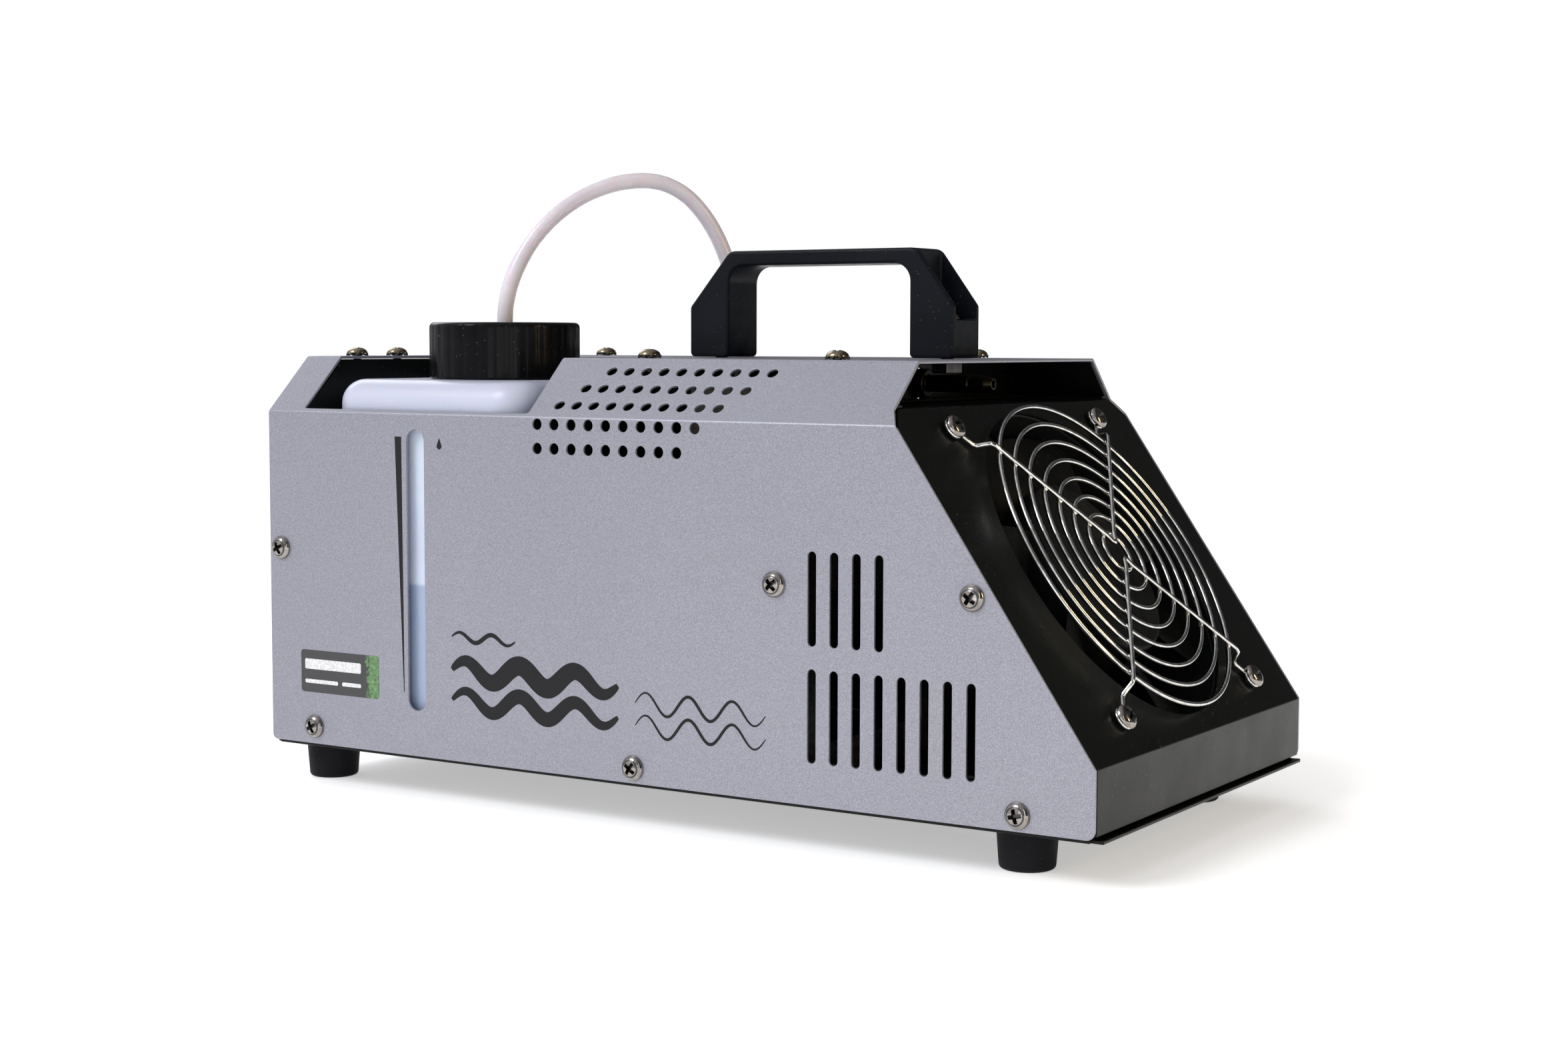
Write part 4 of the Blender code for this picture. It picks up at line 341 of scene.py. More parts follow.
def wool_look():
    look = Look("insulation_sleeve", (0.60, 0.57, 0.48), 0.95, 0.0, Sheen_Weight=0.4,
                Sheen_Roughness=0.5)
    fibres = look.noise(600.0, 6.0, 0.7, stretch=(0.25, 1.0, 1.6))
    look.paint(look.ramp(fibres, (0.3, (0.40, 0.37, 0.29)), (0.7, (0.74, 0.71, 0.61))))
    look.bump(fibres, 0.0004, 0.8)
    return look.material


def fluid_look():
    look = Look("clear_fluid", (0.62, 0.72, 0.84), 0.04, 0.0, Transmission_Weight=0.85, IOR=1.38)
    look.paint(look.patches(12.0, 2.0, (0.58, 0.68, 0.82), (0.68, 0.77, 0.88)))
    look.bump(look.noise(30.0, 2.0), 0.0002, 0.1)
    return look.material


def label_look():
    """Glossy black label; its front end is printed with rough green brush marks."""
    look = Look("printed_label", (0.012, 0.012, 0.014), 0.18, 0.0, Coat_Weight=0.6,
                Coat_Roughness=0.06)
    rough_edge = look.multiply(look.noise(420.0, 4.0, 0.7), 0.008)
    across = look.multiply(look.axis("X"), rough_edge, "ADD")
    brushed = look.between(across, -0.1122, -0.1112)
    green = look.ramp(look.noise(700.0, 4.0, 0.7), (0.30, (0.02, 0.05, 0.02)),
                      (0.55, (0.10, 0.26, 0.07)), (0.75, (0.30, 0.46, 0.22)))
    look.paint(look.mix(brushed, (0.012, 0.012, 0.014), green),
               look.patches(150.0, 3.0, 0.12, 0.26))
    look.bump(look.noise(120.0, 2.0), 0.0003, 0.35)
    return look.material


def ink_look(name, colour):
    look = Look(name, colour, 0.42)
    look.set("Specular IOR Level", 0.28)
    lighter = tuple(c * 1.6 + 0.002 for c in colour)
    look.paint(look.patches(1400.0, 3.0, colour, lighter, 0.35, 0.75),
               look.patches(700.0, 2.0, 0.36, 0.50))
    look.bump(look.noise(1100.0, 2.0), 0.00003, 0.5)
    return look.material


SILVER = silver_look()
BLACK_SHEET = black_sheet_look()
CHROME = metal_look("bright_nickel", (0.40, 0.365, 0.335), 0.11)
GUARD_CHROME = metal_look("chromed_wire", (0.82, 0.81, 0.78), 0.06, spots=0.03)
# Blackened steel for washers and nuts; in the screws' cross recesses it is painted shade.
DARK_STEEL = metal_look("blackened_steel_and_recess_shade", (0.10, 0.10, 0.105), 0.36)
STEEL = metal_look("zinc_plated_steel", (0.52, 0.53, 0.55), 0.34, streak=(1.0, 12.0, 1.0))
BRASSY = metal_look("passivated_zinc", (0.36, 0.30, 0.20), 0.20)
# Brass made very dark, for the nozzle in the outlet recess.
BRASS = metal_look("very_dark_brass", (0.040, 0.034, 0.020), 0.34)
ALUMINIUM = metal_look("cast_aluminium", (0.56, 0.57, 0.58), 0.46, spots=0.1)
COPPER = metal_look("copper_winding", (0.72, 0.34, 0.16), 0.3, streak=(1.0, 1.0, 30.0))
HANDLE_PLASTIC = plastic_look("handle_plastic", (0.0045, 0.0055, 0.0080), 0.40, 1500.0, 0.00004)
BLACK_PLASTIC = plastic_look("moulded_black_plastic", (0.0045, 0.0050, 0.0050), 0.40, 1100.0)
GLOSS_BLACK = plastic_look("gloss_black_plastic", (0.0035, 0.0035, 0.0042), 0.20, 500.0, 0.00001,
                           dusty=0.5)
RUBBER = plastic_look("black_rubber", (0.0055, 0.0055, 0.0070), 0.58, 1300.0, 0.00006, dusty=0.3)
RED_PLASTIC = plastic_look("red_plastic", (0.42, 0.015, 0.012), 0.28, 900.0, 0.00001,
                           gloss=0.3, dusty=0.0)
SMOKED = plastic_look("smoked_window", (0.010, 0.004, 0.004), 0.10, 300.0, 0.00001, gloss=0.8,
                      dusty=0.25)
BOTTLE, HOSE, BOARD, WOOL, FLUID = (bottle_look(), hose_look(), board_look(), wool_look(),
                                    fluid_look())
LABEL, INK = label_look(), ink_look("black_print", (0.004, 0.004, 0.005))


# ---------------------------------------------------------------- making pieces
def finished_mesh(name, bm, smooth, *materials):
    """A mesh with smooth shading, but for corners sharper than an angle in degrees."""
    bmesh.ops.recalc_face_normals(bm, faces=bm.faces)
    mesh = bpy.data.meshes.new(name)
    bm.to_mesh(mesh)
    bm.free()
    for material in materials:
        mesh.materials.append(material)
    mesh.shade_smooth()
    mesh.set_sharp_from_angle(angle=math.radians(smooth))
    return mesh


def add_piece(name, bm, material, body="housing", place=None, smooth=35, node=None):
    """A mesh piece that rides on a body; it may stand for a CAD node."""
    piece = add_object(name, finished_mesh(name, bm, smooth, material), place)
    if body:
        # Large flat faces keep their own normals next to the small rounded rims.
        weighted = piece.modifiers.new("weighted_normals", "WEIGHTED_NORMAL")
        weighted.keep_sharp = True
        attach(piece, body)
    if node:
        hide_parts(node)
    return piece


def moved(bm, matrix):
    bmesh.ops.transform(bm, verts=bm.verts, matrix=matrix)
    return bm


def combine(base, *tools):
    """Boolean a bmesh with (operation, bmesh) tools and give back one bmesh."""
    def temporary(bm):
        bmesh.ops.recalc_face_normals(bm, faces=bm.faces)
        mesh = bpy.data.meshes.new("temporary")
        bm.to_mesh(mesh)
        bm.free()
        return add_object("temporary", mesh)

    target = temporary(base)
    items = [target]
    for operation, bm in tools:
        tool = temporary(bm)
        items.append(tool)
        modifier = target.modifiers.new("boolean", "BOOLEAN")
        modifier.operation, modifier.solver, modifier.object = operation, "EXACT", tool
    result = bmesh.new()
    graph = bpy.context.evaluated_depsgraph_get()
    mesh = bpy.data.meshes.new_from_object(target.evaluated_get(graph))
    result.from_mesh(mesh)
    bpy.data.meshes.remove(mesh)
    for item in items:
        data = item.data
        bpy.data.objects.remove(item, do_unlink=True)
        bpy.data.meshes.remove(data)
    return result


def copy_into(target, source, matrix=None):
    mesh = bpy.data.meshes.new("copy")
    source.to_mesh(mesh)
    source.free()
    if matrix is not None:
        mesh.transform(matrix)
    target.from_mesh(mesh)
    bpy.data.meshes.remove(mesh)


def add_rod(bm, start, end, radius, segments=32):
    start, end = Vector(start), Vector(end)
    bmesh.ops.create_cone(
        bm, cap_ends=True, cap_tris=False, segments=segments, radius1=radius, radius2=radius,
        depth=(end - start).length, matrix=facing((start + end) / 2, end - start))


def add_box(bm, low, high, bevel=0.0, segments=2):
    low, high = Vector(low), Vector(high)
    matrix = Matrix.Translation((low + high) / 2) @ Matrix.Diagonal((*(high - low), 1.0))
    verts = bmesh.ops.create_cube(bm, size=1.0, matrix=matrix)["verts"]
    if bevel:
        edges = list({edge for vert in verts for edge in vert.link_edges})
        bmesh.ops.bevel(bm, geom=edges, offset=bevel, segments=segments, profile=0.5,
                        affect="EDGES")


def turned(profile, segments=48, closed=False):
    """A bmesh from a profile of (radius, height) points turned about +Z."""
    bm = bmesh.new()
    rings = []
    for radius, height in profile:
        if radius < 1e-7:
            rings.append([bm.verts.new((0.0, 0.0, height))])
            continue
        rings.append([bm.verts.new((radius * math.cos(math.tau * i / segments),
                                    radius * math.sin(math.tau * i / segments), height))
                      for i in range(segments)])
    pairs = list(zip(rings, rings[1:])) + ([(rings[-1], rings[0])] if closed else [])
    for a, b in pairs:
        for i in range(segments):
            j = (i + 1) % segments
            corners = []
            for vert in (a[i % len(a)], a[j % len(a)], b[j % len(b)], b[i % len(b)]):
                if vert not in corners:
                    corners.append(vert)
            if len(corners) > 2:
                bm.faces.new(corners)
    return bm


def fillet_path(points, radii, steps=4, closed=True):
    """Flat points with each corner replaced by an arc of its radius (0 leaves it sharp)."""
    points = [Vector(p) for p in points]
    if not isinstance(radii, (list, tuple)):
        radii = [radii] * len(points)
    path = []
    for i, (point, radius) in enumerate(zip(points, radii)):
        if radius <= 0 or (not closed and i in (0, len(points) - 1)):
            path.append(tuple(point))
            continue
        before, after = points[i - 1], points[(i + 1) % len(points)]
        u, v = (before - point).normalized(), (after - point).normalized()
        half = math.acos(max(-1.0, min(1.0, u.dot(v)))) / 2
        if half > math.radians(88):
            path.append(tuple(point))
            continue
        reach = radius / math.tan(half)
        centre = point + (u + v).normalized() * (radius / math.sin(half))
        first, last = point + u * reach - centre, point + v * reach - centre
        sweep = first.angle_signed(last)
        for k in range(steps + 1):
            turn = -sweep * k / steps
            c, s = math.cos(turn), math.sin(turn)
            path.append((centre.x + first.x * c - first.y * s,
                         centre.y + first.x * s + first.y * c))
    return path


def circle(centre, radius, count=24):
    return [(centre[0] + radius * math.cos(math.tau * i / count),
             centre[1] + radius * math.sin(math.tau * i / count)) for i in range(count)]


def slot(low, high, width, count=8):
    """A round-ended slot from low to high along the first axis."""
    points = []
    for (u, v), turn, inset in ((high, -math.pi / 2, -1), (low, math.pi / 2, 1)):
        for i in range(count + 1):
            angle = turn + math.pi * i / count
            points.append((u + inset * width / 2 + width / 2 * math.cos(angle),
                           v + width / 2 * math.sin(angle)))
    return points


def rectangle(low, high):
    return [(low[0], low[1]), (high[0], low[1]), (high[0], high[1]), (low[0], high[1])]


def signed_area(loop):
    return sum(a[0] * b[1] - b[0] * a[1] for a, b in zip(loop, loop[1:] + loop[:1])) / 2


def offset_loop(loop, distance):
    """The loop moved to the left of its direction by a distance, corner by corner."""
    moved = []
    count = len(loop)
    for i in range(count):
        point = Vector(loop[i])
        u = (point - Vector(loop[i - 1])).normalized()
        v = (Vector(loop[(i + 1) % count]) - point).normalized()
        normal = Vector((-u.y - v.y, u.x + v.x))
        if normal.length < 1e-9:
            normal = Vector((-u.y, u.x))
        normal.normalize()
        scale = max(0.35, normal.dot(Vector((-u.y, u.x))))
        moved.append(tuple(point + normal * distance / scale))
    return moved


def on_the_sheet(flat, edges, faces):
    """The triangles whose middles are inside the outline and in no hole."""
    points = np.array([tuple(point) for point in flat], float)
    starts, ends = (points[[edge[k] for edge in edges]] for k in (0, 1))
    middles = np.array([points[face].mean(axis=0) for face in faces])
    kept = []
    for face, (u, v) in zip(faces, middles):
        spans = (starts[:, 1] > v) != (ends[:, 1] > v)
        a, b = starts[spans], ends[spans]
        cross = a[:, 0] + (b[:, 0] - a[:, 0]) * (v - a[:, 1]) / (b[:, 1] - a[:, 1])
        if (cross > u).sum() % 2:
            kept.append(face)
    return kept


def quarter_turn(steps):
    """One minus the sine and one minus the cosine at even steps of a quarter turn."""
    turns = [math.pi / 2 * i / steps for i in range(steps + 1)]
    return [(1 - math.sin(turn), 1 - math.cos(turn)) for turn in turns]


def plate(outline, holes, thickness, edge=0.00022, steps=2):
    """A flat plate from z = 0 down to -thickness, with real holes and rounded rims."""
    loops = [outline if signed_area(outline) > 0 else outline[::-1]]
    loops += [hole[::-1] if signed_area(hole) > 0 else hole for hole in holes]
    edge = min(edge, thickness * 0.49)
    levels = [(edge * a, -edge * b) for a, b in quarter_turn(steps)]
    levels += [(inset, -thickness - z) for inset, z in reversed(levels)]
    bm = bmesh.new()
    tops, bottoms = [], []
    for loop in loops:
        rings = []
        for inset, z in levels:
            points = offset_loop(loop, inset) if inset > 1e-9 else loop
            rings.append([bm.verts.new((u, v, z)) for u, v in points])
        for upper, lower in zip(rings, rings[1:]):
            for i in range(len(loop)):
                j = (i + 1) % len(loop)
                bm.faces.new((upper[i], lower[i], lower[j], upper[j]))
        tops.append(rings[0])
        bottoms.append(rings[-1])
    for rings, flip in ((tops, False), (bottoms, True)):
        verts = [vert for ring in rings for vert in ring]
        flat, edges = [Vector((vert.co.x, vert.co.y)) for vert in verts], []
        for ring in rings:
            start, count = len(edges), len(ring)
            edges += [(start + i, start + (i + 1) % count) for i in range(count)]
        _, _, faces, origins, _, _ = delaunay_2d_cdt(flat, edges, [], 0, 1e-9)
        faces = [[origins[i][0] for i in face] for face in faces]
        for face in on_the_sheet(flat, edges, faces):
            corners = [verts[i] for i in face]
            bm.faces.new(corners[::-1] if flip else corners)
    return bm


def fold(bm, thickness, profile, place, inward, bend_radius=0.0013, steps=5):
    """Bend a flat plate (x along the profile, y across, z depth) round a press-brake profile."""
    profile = [Vector(point) for point in profile]
    runs = [b - a for a, b in zip(profile, profile[1:])]
    distances = [0.0]
    for run in runs:
        distances.append(distances[-1] + run.length)
    bends = []
    for i in range(1, len(runs)):
        a, b = runs[i - 1].normalized(), runs[i].normalized()
        turn = math.atan2(a.x * b.y - a.y * b.x, a.dot(b))
        convex = turn * inward > 0
        radius = bend_radius if convex else 0.0004
        reach = radius * math.tan(abs(turn) / 2)
        bends.append((distances[i], reach, radius, turn, convex, i))
        for k in range(steps + 1):
            bmesh.ops.bisect_plane(
                bm, geom=bm.verts[:] + bm.edges[:] + bm.faces[:], dist=1e-7,
                plane_co=(distances[i] - reach + 2 * reach * k / steps, 0, 0), plane_no=(1, 0, 0))
    for vert in bm.verts:
        s, q, depth = vert.co.x, vert.co.y, -vert.co.z
        in_bend = next((bend for bend in bends if abs(s - bend[0]) <= bend[1] + 1e-8), None)
        if in_bend:
            middle, reach, radius, turn, convex, i = in_bend
            a = runs[i - 1].normalized()
            side = Vector((-a.y, a.x)) * math.copysign(1.0, turn)
            centre = profile[i] - a * reach + side * radius
            angle = turn * (s - middle + reach) / (2 * reach)
            arm = -side
            c, n = math.cos(angle), math.sin(angle)
            arm = Vector((arm.x * c - arm.y * n, arm.x * n + arm.y * c))
            flat = centre + arm * (radius - depth if convex else radius + depth)
        else:
            index = max(i for i in range(len(runs)) if i == 0 or s > distances[i])
            run = runs[index].normalized()
            flat = profile[index] + run * (s - distances[index])
            flat += Vector((-run.y, run.x)) * inward * depth
        vert.co = place(flat.x, flat.y, q)
    return bm


def along_x(a, b, q):
    return (q, a, b)


def across_y(a, b, q):
    return (a, q, b)


def smooth_route(points, spacing):
    """Points read every spacing or so from a smooth curve through the given points."""
    points = [Vector(point) for point in points]
    padded = [points[0] * 2 - points[1], *points, points[-1] * 2 - points[-2]]
    route = []
    for before, start, end, after in zip(padded, padded[1:], padded[2:], padded[3:]):
        count = max(1, round((end - start).length / spacing))
        for i in range(count):
            t = i / count
            route.append(0.5 * (
                2 * start + (end - before) * t
                + (2 * before - 5 * start + 4 * end - after) * t ** 2
                + (3 * start - before - 3 * end + after) * t ** 3))
    return route + [points[-1]]


def tube(points, radius, segments, closed=False):
    """A round tube swept along points without twist."""
    points = [Vector(point) for point in points]
    count = len(points)
    bm = bmesh.new()
    rings = []
    normal = None
    for i, point in enumerate(points):
        after = points[(i + 1) % count] if closed else points[min(i + 1, count - 1)]
        before = points[i - 1] if closed else points[max(i - 1, 0)]
        tangent = (after - before).normalized()
        if normal is None:
            normal = Vector((0, 0, 1)) if closed else tangent.orthogonal().normalized()
        normal = (normal - tangent * normal.dot(tangent)).normalized()
        side = tangent.cross(normal)
        rings.append([bm.verts.new(point + (normal * math.cos(math.tau * k / segments)
                                            + side * math.sin(math.tau * k / segments)) * radius)
                      for k in range(segments)])
    pairs = list(zip(rings, rings[1:])) + ([(rings[-1], rings[0])] if closed else [])
    for a, b in pairs:
        for k in range(segments):
            m = (k + 1) % segments
            bm.faces.new((a[k], b[k], b[m], a[m]))
    if not closed:
        bm.faces.new(rings[0])
        bm.faces.new(rings[-1][::-1])
    return bm


# ---------------------------------------------------------------- hose
HOSE_POINTS = (
    (-0.0903, -0.0380, 0.1658), (-0.0900, -0.0376, 0.1730), (-0.0889, -0.0360, 0.1810),
    (-0.0869, -0.0331, 0.1890), (-0.0840, -0.0290, 0.1970), (-0.0799, -0.0230, 0.2048),
    (-0.0750, -0.0160, 0.2112), (-0.0700, -0.0088, 0.2155), (-0.0650, -0.0016, 0.2181),
    (-0.0598, 0.0058, 0.2191), (-0.0550, 0.0128, 0.2180), (-0.0503, 0.0195, 0.2139),
    (-0.0462, 0.0253, 0.2068), (-0.0430, 0.0299, 0.1980), (-0.0407, 0.0333, 0.1880),
    (-0.0393, 0.0353, 0.1775), (-0.0387, 0.0362, 0.1670), (-0.0385, 0.0365, 0.1574))
hose_path = smooth_route(HOSE_POINTS, 0.0012)
hose = add_piece("milky_hose", tube(hose_path, HOSE_RADIUS, 24), HOSE, body=None, smooth=60)
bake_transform(hose)
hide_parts("feed_hose")


# ---------------------------------------------------------------- sheet metal
def on_side(z):
    return z - COVER_BOTTOM


def on_top(y):
    return SIDE_LENGTH + CHAMFER_LENGTH + TOP_HALF_WIDTH + y


def mirrored(holes):
    return holes + [[(FLAT_WIDTH - s, x) for s, x in hole] for hole in holes]


def vent_rows(rows):
    return [circle((s, start + VENT_PITCH * i), VENT_RADIUS, 20)
            for s, start, count in rows for i in range(count)]


def make_cover():
    bend_x = FRONT_X + UP_SLANT.x * (BEND_Z - LIP_TOP_Z) / UP_SLANT.z
    step_s = SIDE_LENGTH + CHAMFER_LENGTH * (PANEL_TOP_Z - BEND_Z) / (TOP_Z - BEND_Z)
    half = [(0.0, FRONT_X), (on_side(LIP_TOP_Z), FRONT_X), (SIDE_LENGTH, bend_x),
            (step_s, PANEL_TOP_X)]
    outline = half + [(FLAT_WIDTH - s, x) for s, x in reversed(half)]
    outline += [(FLAT_WIDTH, REAR_X), (0.0, REAR_X)]
    outline = fillet_path(outline, [0.003, 0.0006, 0, 0.0006, 0.0006, 0, 0.0006, 0.003,
                                    0.002, 0.002], 5)
    slots = [slot((on_side(low), FIRST_SLOT_X + SLOT_PITCH * i),
                  (on_side(high), FIRST_SLOT_X + SLOT_PITCH * i), SLOT_WIDTH)
             for count, low, high in (LOW_SLOTS, HIGH_SLOTS) for i in range(count)]
    screws = [circle((on_side(z), x), SCREW_HOLE) for x, z in SIDE_SCREWS + MORE_SIDE_SCREWS]
    chamfer = vent_rows(((SIDE_LENGTH + 0.0060, -0.0330, 10), (SIDE_LENGTH + 0.0141, -0.0263, 10),
                         (SIDE_LENGTH + 0.0223, -0.0199, 10)))
    wall = vent_rows(((on_side(0.1244), -0.0393, 9), (on_side(0.1325), -0.0393, 10)))
    top_row = vent_rows(((on_top(-TOP_HALF_WIDTH + 0.0024), -0.0134, 10),))
    holes = mirrored(slots + screws + chamfer) + wall + top_row
    holes.append(slot((on_side(WINDOW_Z[0]), WINDOW_X), (on_side(WINDOW_Z[1]), WINDOW_X),
                      WINDOW_WIDTH, 20))
    holes.append(fillet_path(rectangle((SIDE_LENGTH + CUTOUT_LOWER_RIM, CUTOUT_X[0]),
                                       (on_top(CUTOUT_Y_MAX), CUTOUT_X[1])), 0.0012, 5))
    holes += [circle((on_top(y), x), SCREW_HOLE) for x, y in TOP_SCREWS]
    holes += [circle((on_top(0.0), x), HANDLE_BOLT_HOLE) for x in HANDLE_BOLT_X]
    holes.append(circle((on_top(GROMMET_CENTRE.y), GROMMET_CENTRE.x), 0.0042, 32))
    side = [(HALF_WIDTH, COVER_BOTTOM), (HALF_WIDTH, BEND_Z), (TOP_HALF_WIDTH, TOP_Z)]
    profile = [(-y, z) for y, z in side] + list(reversed(side))
    bm = fold(plate(outline, holes, COVER_SHEET, 0.00028), COVER_SHEET, profile, along_x, -1)
    cover = add_piece("silver_cover", bm, SILVER, smooth=24)
    # The faces of the front cut edge take the black panel material, so no silver edge shows beside
    # the panel.
    cover.data.materials.append(BLACK_SHEET)
    for face in cover.data.polygons:
        off_slant = (face.center - FAN_CENTRE).dot(PANEL_NORMAL)
        at_front = off_slant > -EDGE_BAND or (face.center.x > PANEL_TOP_X - EDGE_BAND
                                              and face.center.z > PANEL_TOP_Z)
        if at_front and face.normal.x > 0.45:
            face.material_index = 1
    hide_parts("housing_cover")


def add_panel(name, node, edge, holes, profile, bend_radius=0.0013):
    """A folded black panel, with one half of its flat outline given."""
    outline = edge + [(s, -q) for s, q in reversed(edge)]
    bm = fold(plate(outline, holes, PANEL_SHEET, RIM), PANEL_SHEET, profile, across_y, 1,
              bend_radius)
    add_piece(name, bm, BLACK_SHEET, smooth=24, node=node)


def fan_screw_spots(centre=0.0):
    return [(centre + u * FAN_HOLE_PITCH, v * FAN_HOLE_PITCH) for u, v in CORNERS]


def make_front_panel():
    lip_low = COVER_BOTTOM + 0.0010
    lip = LIP_TOP_Z - lip_low
    floor, wall = PANEL_TOP_X - BACK_WALL_X, TOP_Z - COVER_SHEET - GAP - PANEL_TOP_Z
    slant_end = lip + SLANT_LENGTH
    wall_top = slant_end + floor + wall
    half = INSIDE_HALF_WIDTH
    narrow = half + 0.0004 - (PANEL_TOP_Z - BEND_Z) * 1.08 - PANEL_INSET
    top_half = TOP_HALF_WIDTH - PANEL_INSET
    shoulder = slant_end - 0.0072
    edge = [(0.0, half), (shoulder, half), (slant_end, narrow), (slant_end + floor, narrow),
            (wall_top, top_half)]
    centre = lip + FAN_ALONG_SLANT
    holes = [circle((centre, 0.0), FAN_HOLE_RADIUS, 128)]
    holes += [circle(spot, SCREW_HOLE) for spot in fan_screw_spots(centre)]
    holes.append(circle((slant_end + floor + NOZZLE_Z - PANEL_TOP_Z, 0.0),
                        NOZZLE_COLLAR + GAP, 32))
    profile = [(FRONT_X, lip_low), (FRONT_X, LIP_TOP_Z), (PANEL_TOP_X, PANEL_TOP_Z),
               (BACK_WALL_X, PANEL_TOP_Z), (BACK_WALL_X, PANEL_TOP_Z + wall)]
    add_panel("black_front_panel", "front_panel", edge, holes, profile, 0.0016)


def make_rear_panel():
    bottom_z, top_z = TRAY_Z + PANEL_SHEET + GAP, TOP_Z - COVER_SHEET - GAP
    flange, half, top_half = 0.0135, INSIDE_HALF_WIDTH, TOP_HALF_WIDTH - PANEL_INSET

    def at(z):
        return flange + top_z - z

    def window(centre, width, height, radius):
        y, z = centre
        return fillet_path(rectangle((at(z + height / 2), y - width / 2),
                                     (at(z - height / 2), y + width / 2)), radius, 4)

    edge = [(0.0, top_half - 0.004), (flange, top_half), (at(BEND_Z - 0.0004), half),
            (at(bottom_z), half)]
    holes = [circle((flange - (x - REAR_FACE_X), y), SCREW_HOLE) for x, y in TOP_SCREWS
             if x < -0.150]
    holes += [window(INLET_CENTRE, 0.0274, 0.0314, 0.001),
              window(ROCKER_CENTRE, 0.0134, 0.0196, 0.001),
              window(DISPLAY_CENTRE, DISPLAY_SIZE[0] + 0.0006, DISPLAY_SIZE[1] + 0.0006, 0.0006)]
    holes += [circle((at(z), y), 0.0122, 48) for y, z in (DATA_IN_CENTRE, DATA_OUT_CENTRE)]
    holes += [circle((at(z), y), BUTTON_HOLE, 24) for y, z in BUTTON_CENTRES]
    profile = [(REAR_FACE_X + flange, top_z), (REAR_FACE_X, top_z), (REAR_FACE_X, bottom_z)]
    add_panel("black_rear_panel", "rear_panel", edge, holes, profile)


make_cover()
make_front_panel()
make_rear_panel()


# ---------------------------------------------------------------- screws
def screw_mesh(head, height, recess, shank, length, material):
    """Pan head with a cross recess and a threaded-looking shank, along +Z from z = 0."""
    dome = [(0.0, -length), (shank * 0.8, -length), (shank, -length + 0.0005)]
    turns = int(length / 0.0006)
    for i in range(turns):
        z = -length + 0.0007 + (length - 0.0010) * i / turns
        dome += [(shank, z), (shank * 0.82, z + 0.0003)]
    dome += [(shank, -0.0001), (head * 0.97, 0.0), (head, 0.00012)]
    for i in range(1, 10):
        angle = math.pi / 2 * i / 9
        dome.append((head * (1 - (1 - math.cos(angle)) ** 0.9), height * math.sin(angle) ** 0.85))
    dome[-1] = (0.0, height)
    bars = []
    for turn in (False, True):
        bars.append(bmesh.new())
        for vert in bmesh.ops.create_cube(bars[-1], size=1.0)["verts"]:
            deep = vert.co.z < 0
            wide, thin = (recess * 0.45, recess * 0.16) if deep else (recess * 1.05, recess * 0.27)
            x, y = vert.co.x * 2 * wide, vert.co.y * 2 * thin
            flat = (-y, x) if turn else (x, y)
            vert.co = (*flat, height * (0.12 if deep else 1.3))
    bm = combine(turned(dome, 36), *(("DIFFERENCE", bar) for bar in bars))
    # Painted shade: the faces inside the cross recess take the dark steel material, standing in
    # for the shade in the recess.
    mesh = finished_mesh("screw", bm, 32, material, DARK_STEEL)
    for face in mesh.polygons:
        if 0 < face.center.z < 0.8 * height and face.center.xy.length < recess:
            face.material_index = 1
    return mesh


PAN_SCREW = screw_mesh(SCREW_HEAD, SCREW_HEAD_HEIGHT, 0.0028, SCREW_SHANK, 0.0055, CHROME)
TOP_SCREW = screw_mesh(0.0038, 0.0022, 0.0023, SCREW_SHANK, 0.0060, BRASSY)
SMALL_SCREW = screw_mesh(0.0019, 0.0011, 0.0011, 0.0010, 0.0040, CHROME)
FOOT_SCREW = screw_mesh(0.0036, 0.0022, 0.0020, 0.0020, 0.0100, STEEL)
BOLT_HEAD = screw_mesh(0.0045, 0.0030, 0.0024, HANDLE_BOLT_HOLE - 0.0004, 0.0175, CHROME)


def add_screw(name, mesh, place, node=None):
    turn = Matrix.Rotation(random.uniform(0, math.tau), 4, "Z")
    piece = add_object(name, mesh, place @ turn)
    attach(piece, "housing")
    if node:
        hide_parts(node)


for side, label in ((-1, "near"), (1, "far")):
    spots = [(where, spot, f"cover_screw_{label}_{where}")
             for where, spot in zip(("rear", "bottom", "front"), SIDE_SCREWS)]
    spots += [(i, spot, None) for i, spot in enumerate(MORE_SIDE_SCREWS, start=1)]
    for where, (x, z), node in spots:
        add_screw(f"side_screw_{label}_{where}", PAN_SCREW,
                  facing((x, side * (HALF_WIDTH + SCREW_SINK), z), (0, side, 0)), node)


def toothed_washer(inner, outer, teeth=10):
    """Internal star of a lock washer: a thin ring with twisted outer teeth."""
    thick = 0.0005
    outline = []
    for i in range(teeth):
        for part, radius in ((0.0, outer * 0.80), (0.22, outer * 0.80), (0.32, outer),
                             (0.86, outer), (0.96, outer * 0.80)):
            angle = math.tau * (i + part) / teeth
            outline.append((radius * math.cos(angle), radius * math.sin(angle)))
    bm = plate(outline, [circle((0, 0), inner, 24)], thick, 0.0001, 1)
    for vert in bm.verts:
        reach = math.hypot(vert.co.x, vert.co.y)
        if reach > outer * 0.88:
            phase = (math.atan2(vert.co.y, vert.co.x) / math.tau * teeth) % 1.0
            vert.co.z += (phase - 0.59) * 0.0012
    return bm


for i, (x, y) in enumerate(TOP_SCREWS, start=1):
    washer = moved(toothed_washer(SCREW_SHANK + 0.0002, 0.0041),
                   Matrix.Translation((x, y, TOP_Z + 0.0008)))
    add_piece(f"lock_washer_{i}", washer, DARK_STEEL)
    add_screw(f"top_screw_{i}", TOP_SCREW, Matrix.Translation((x, y, TOP_Z + 0.0010)))

for i, spot in enumerate(fan_screw_spots(), start=1):
    add_screw(f"fan_screw_{i}", PAN_SCREW, FAN_PLACE @ Matrix.Translation((*spot, GUARD_TOP)),
              f"guard_screw_{i}")

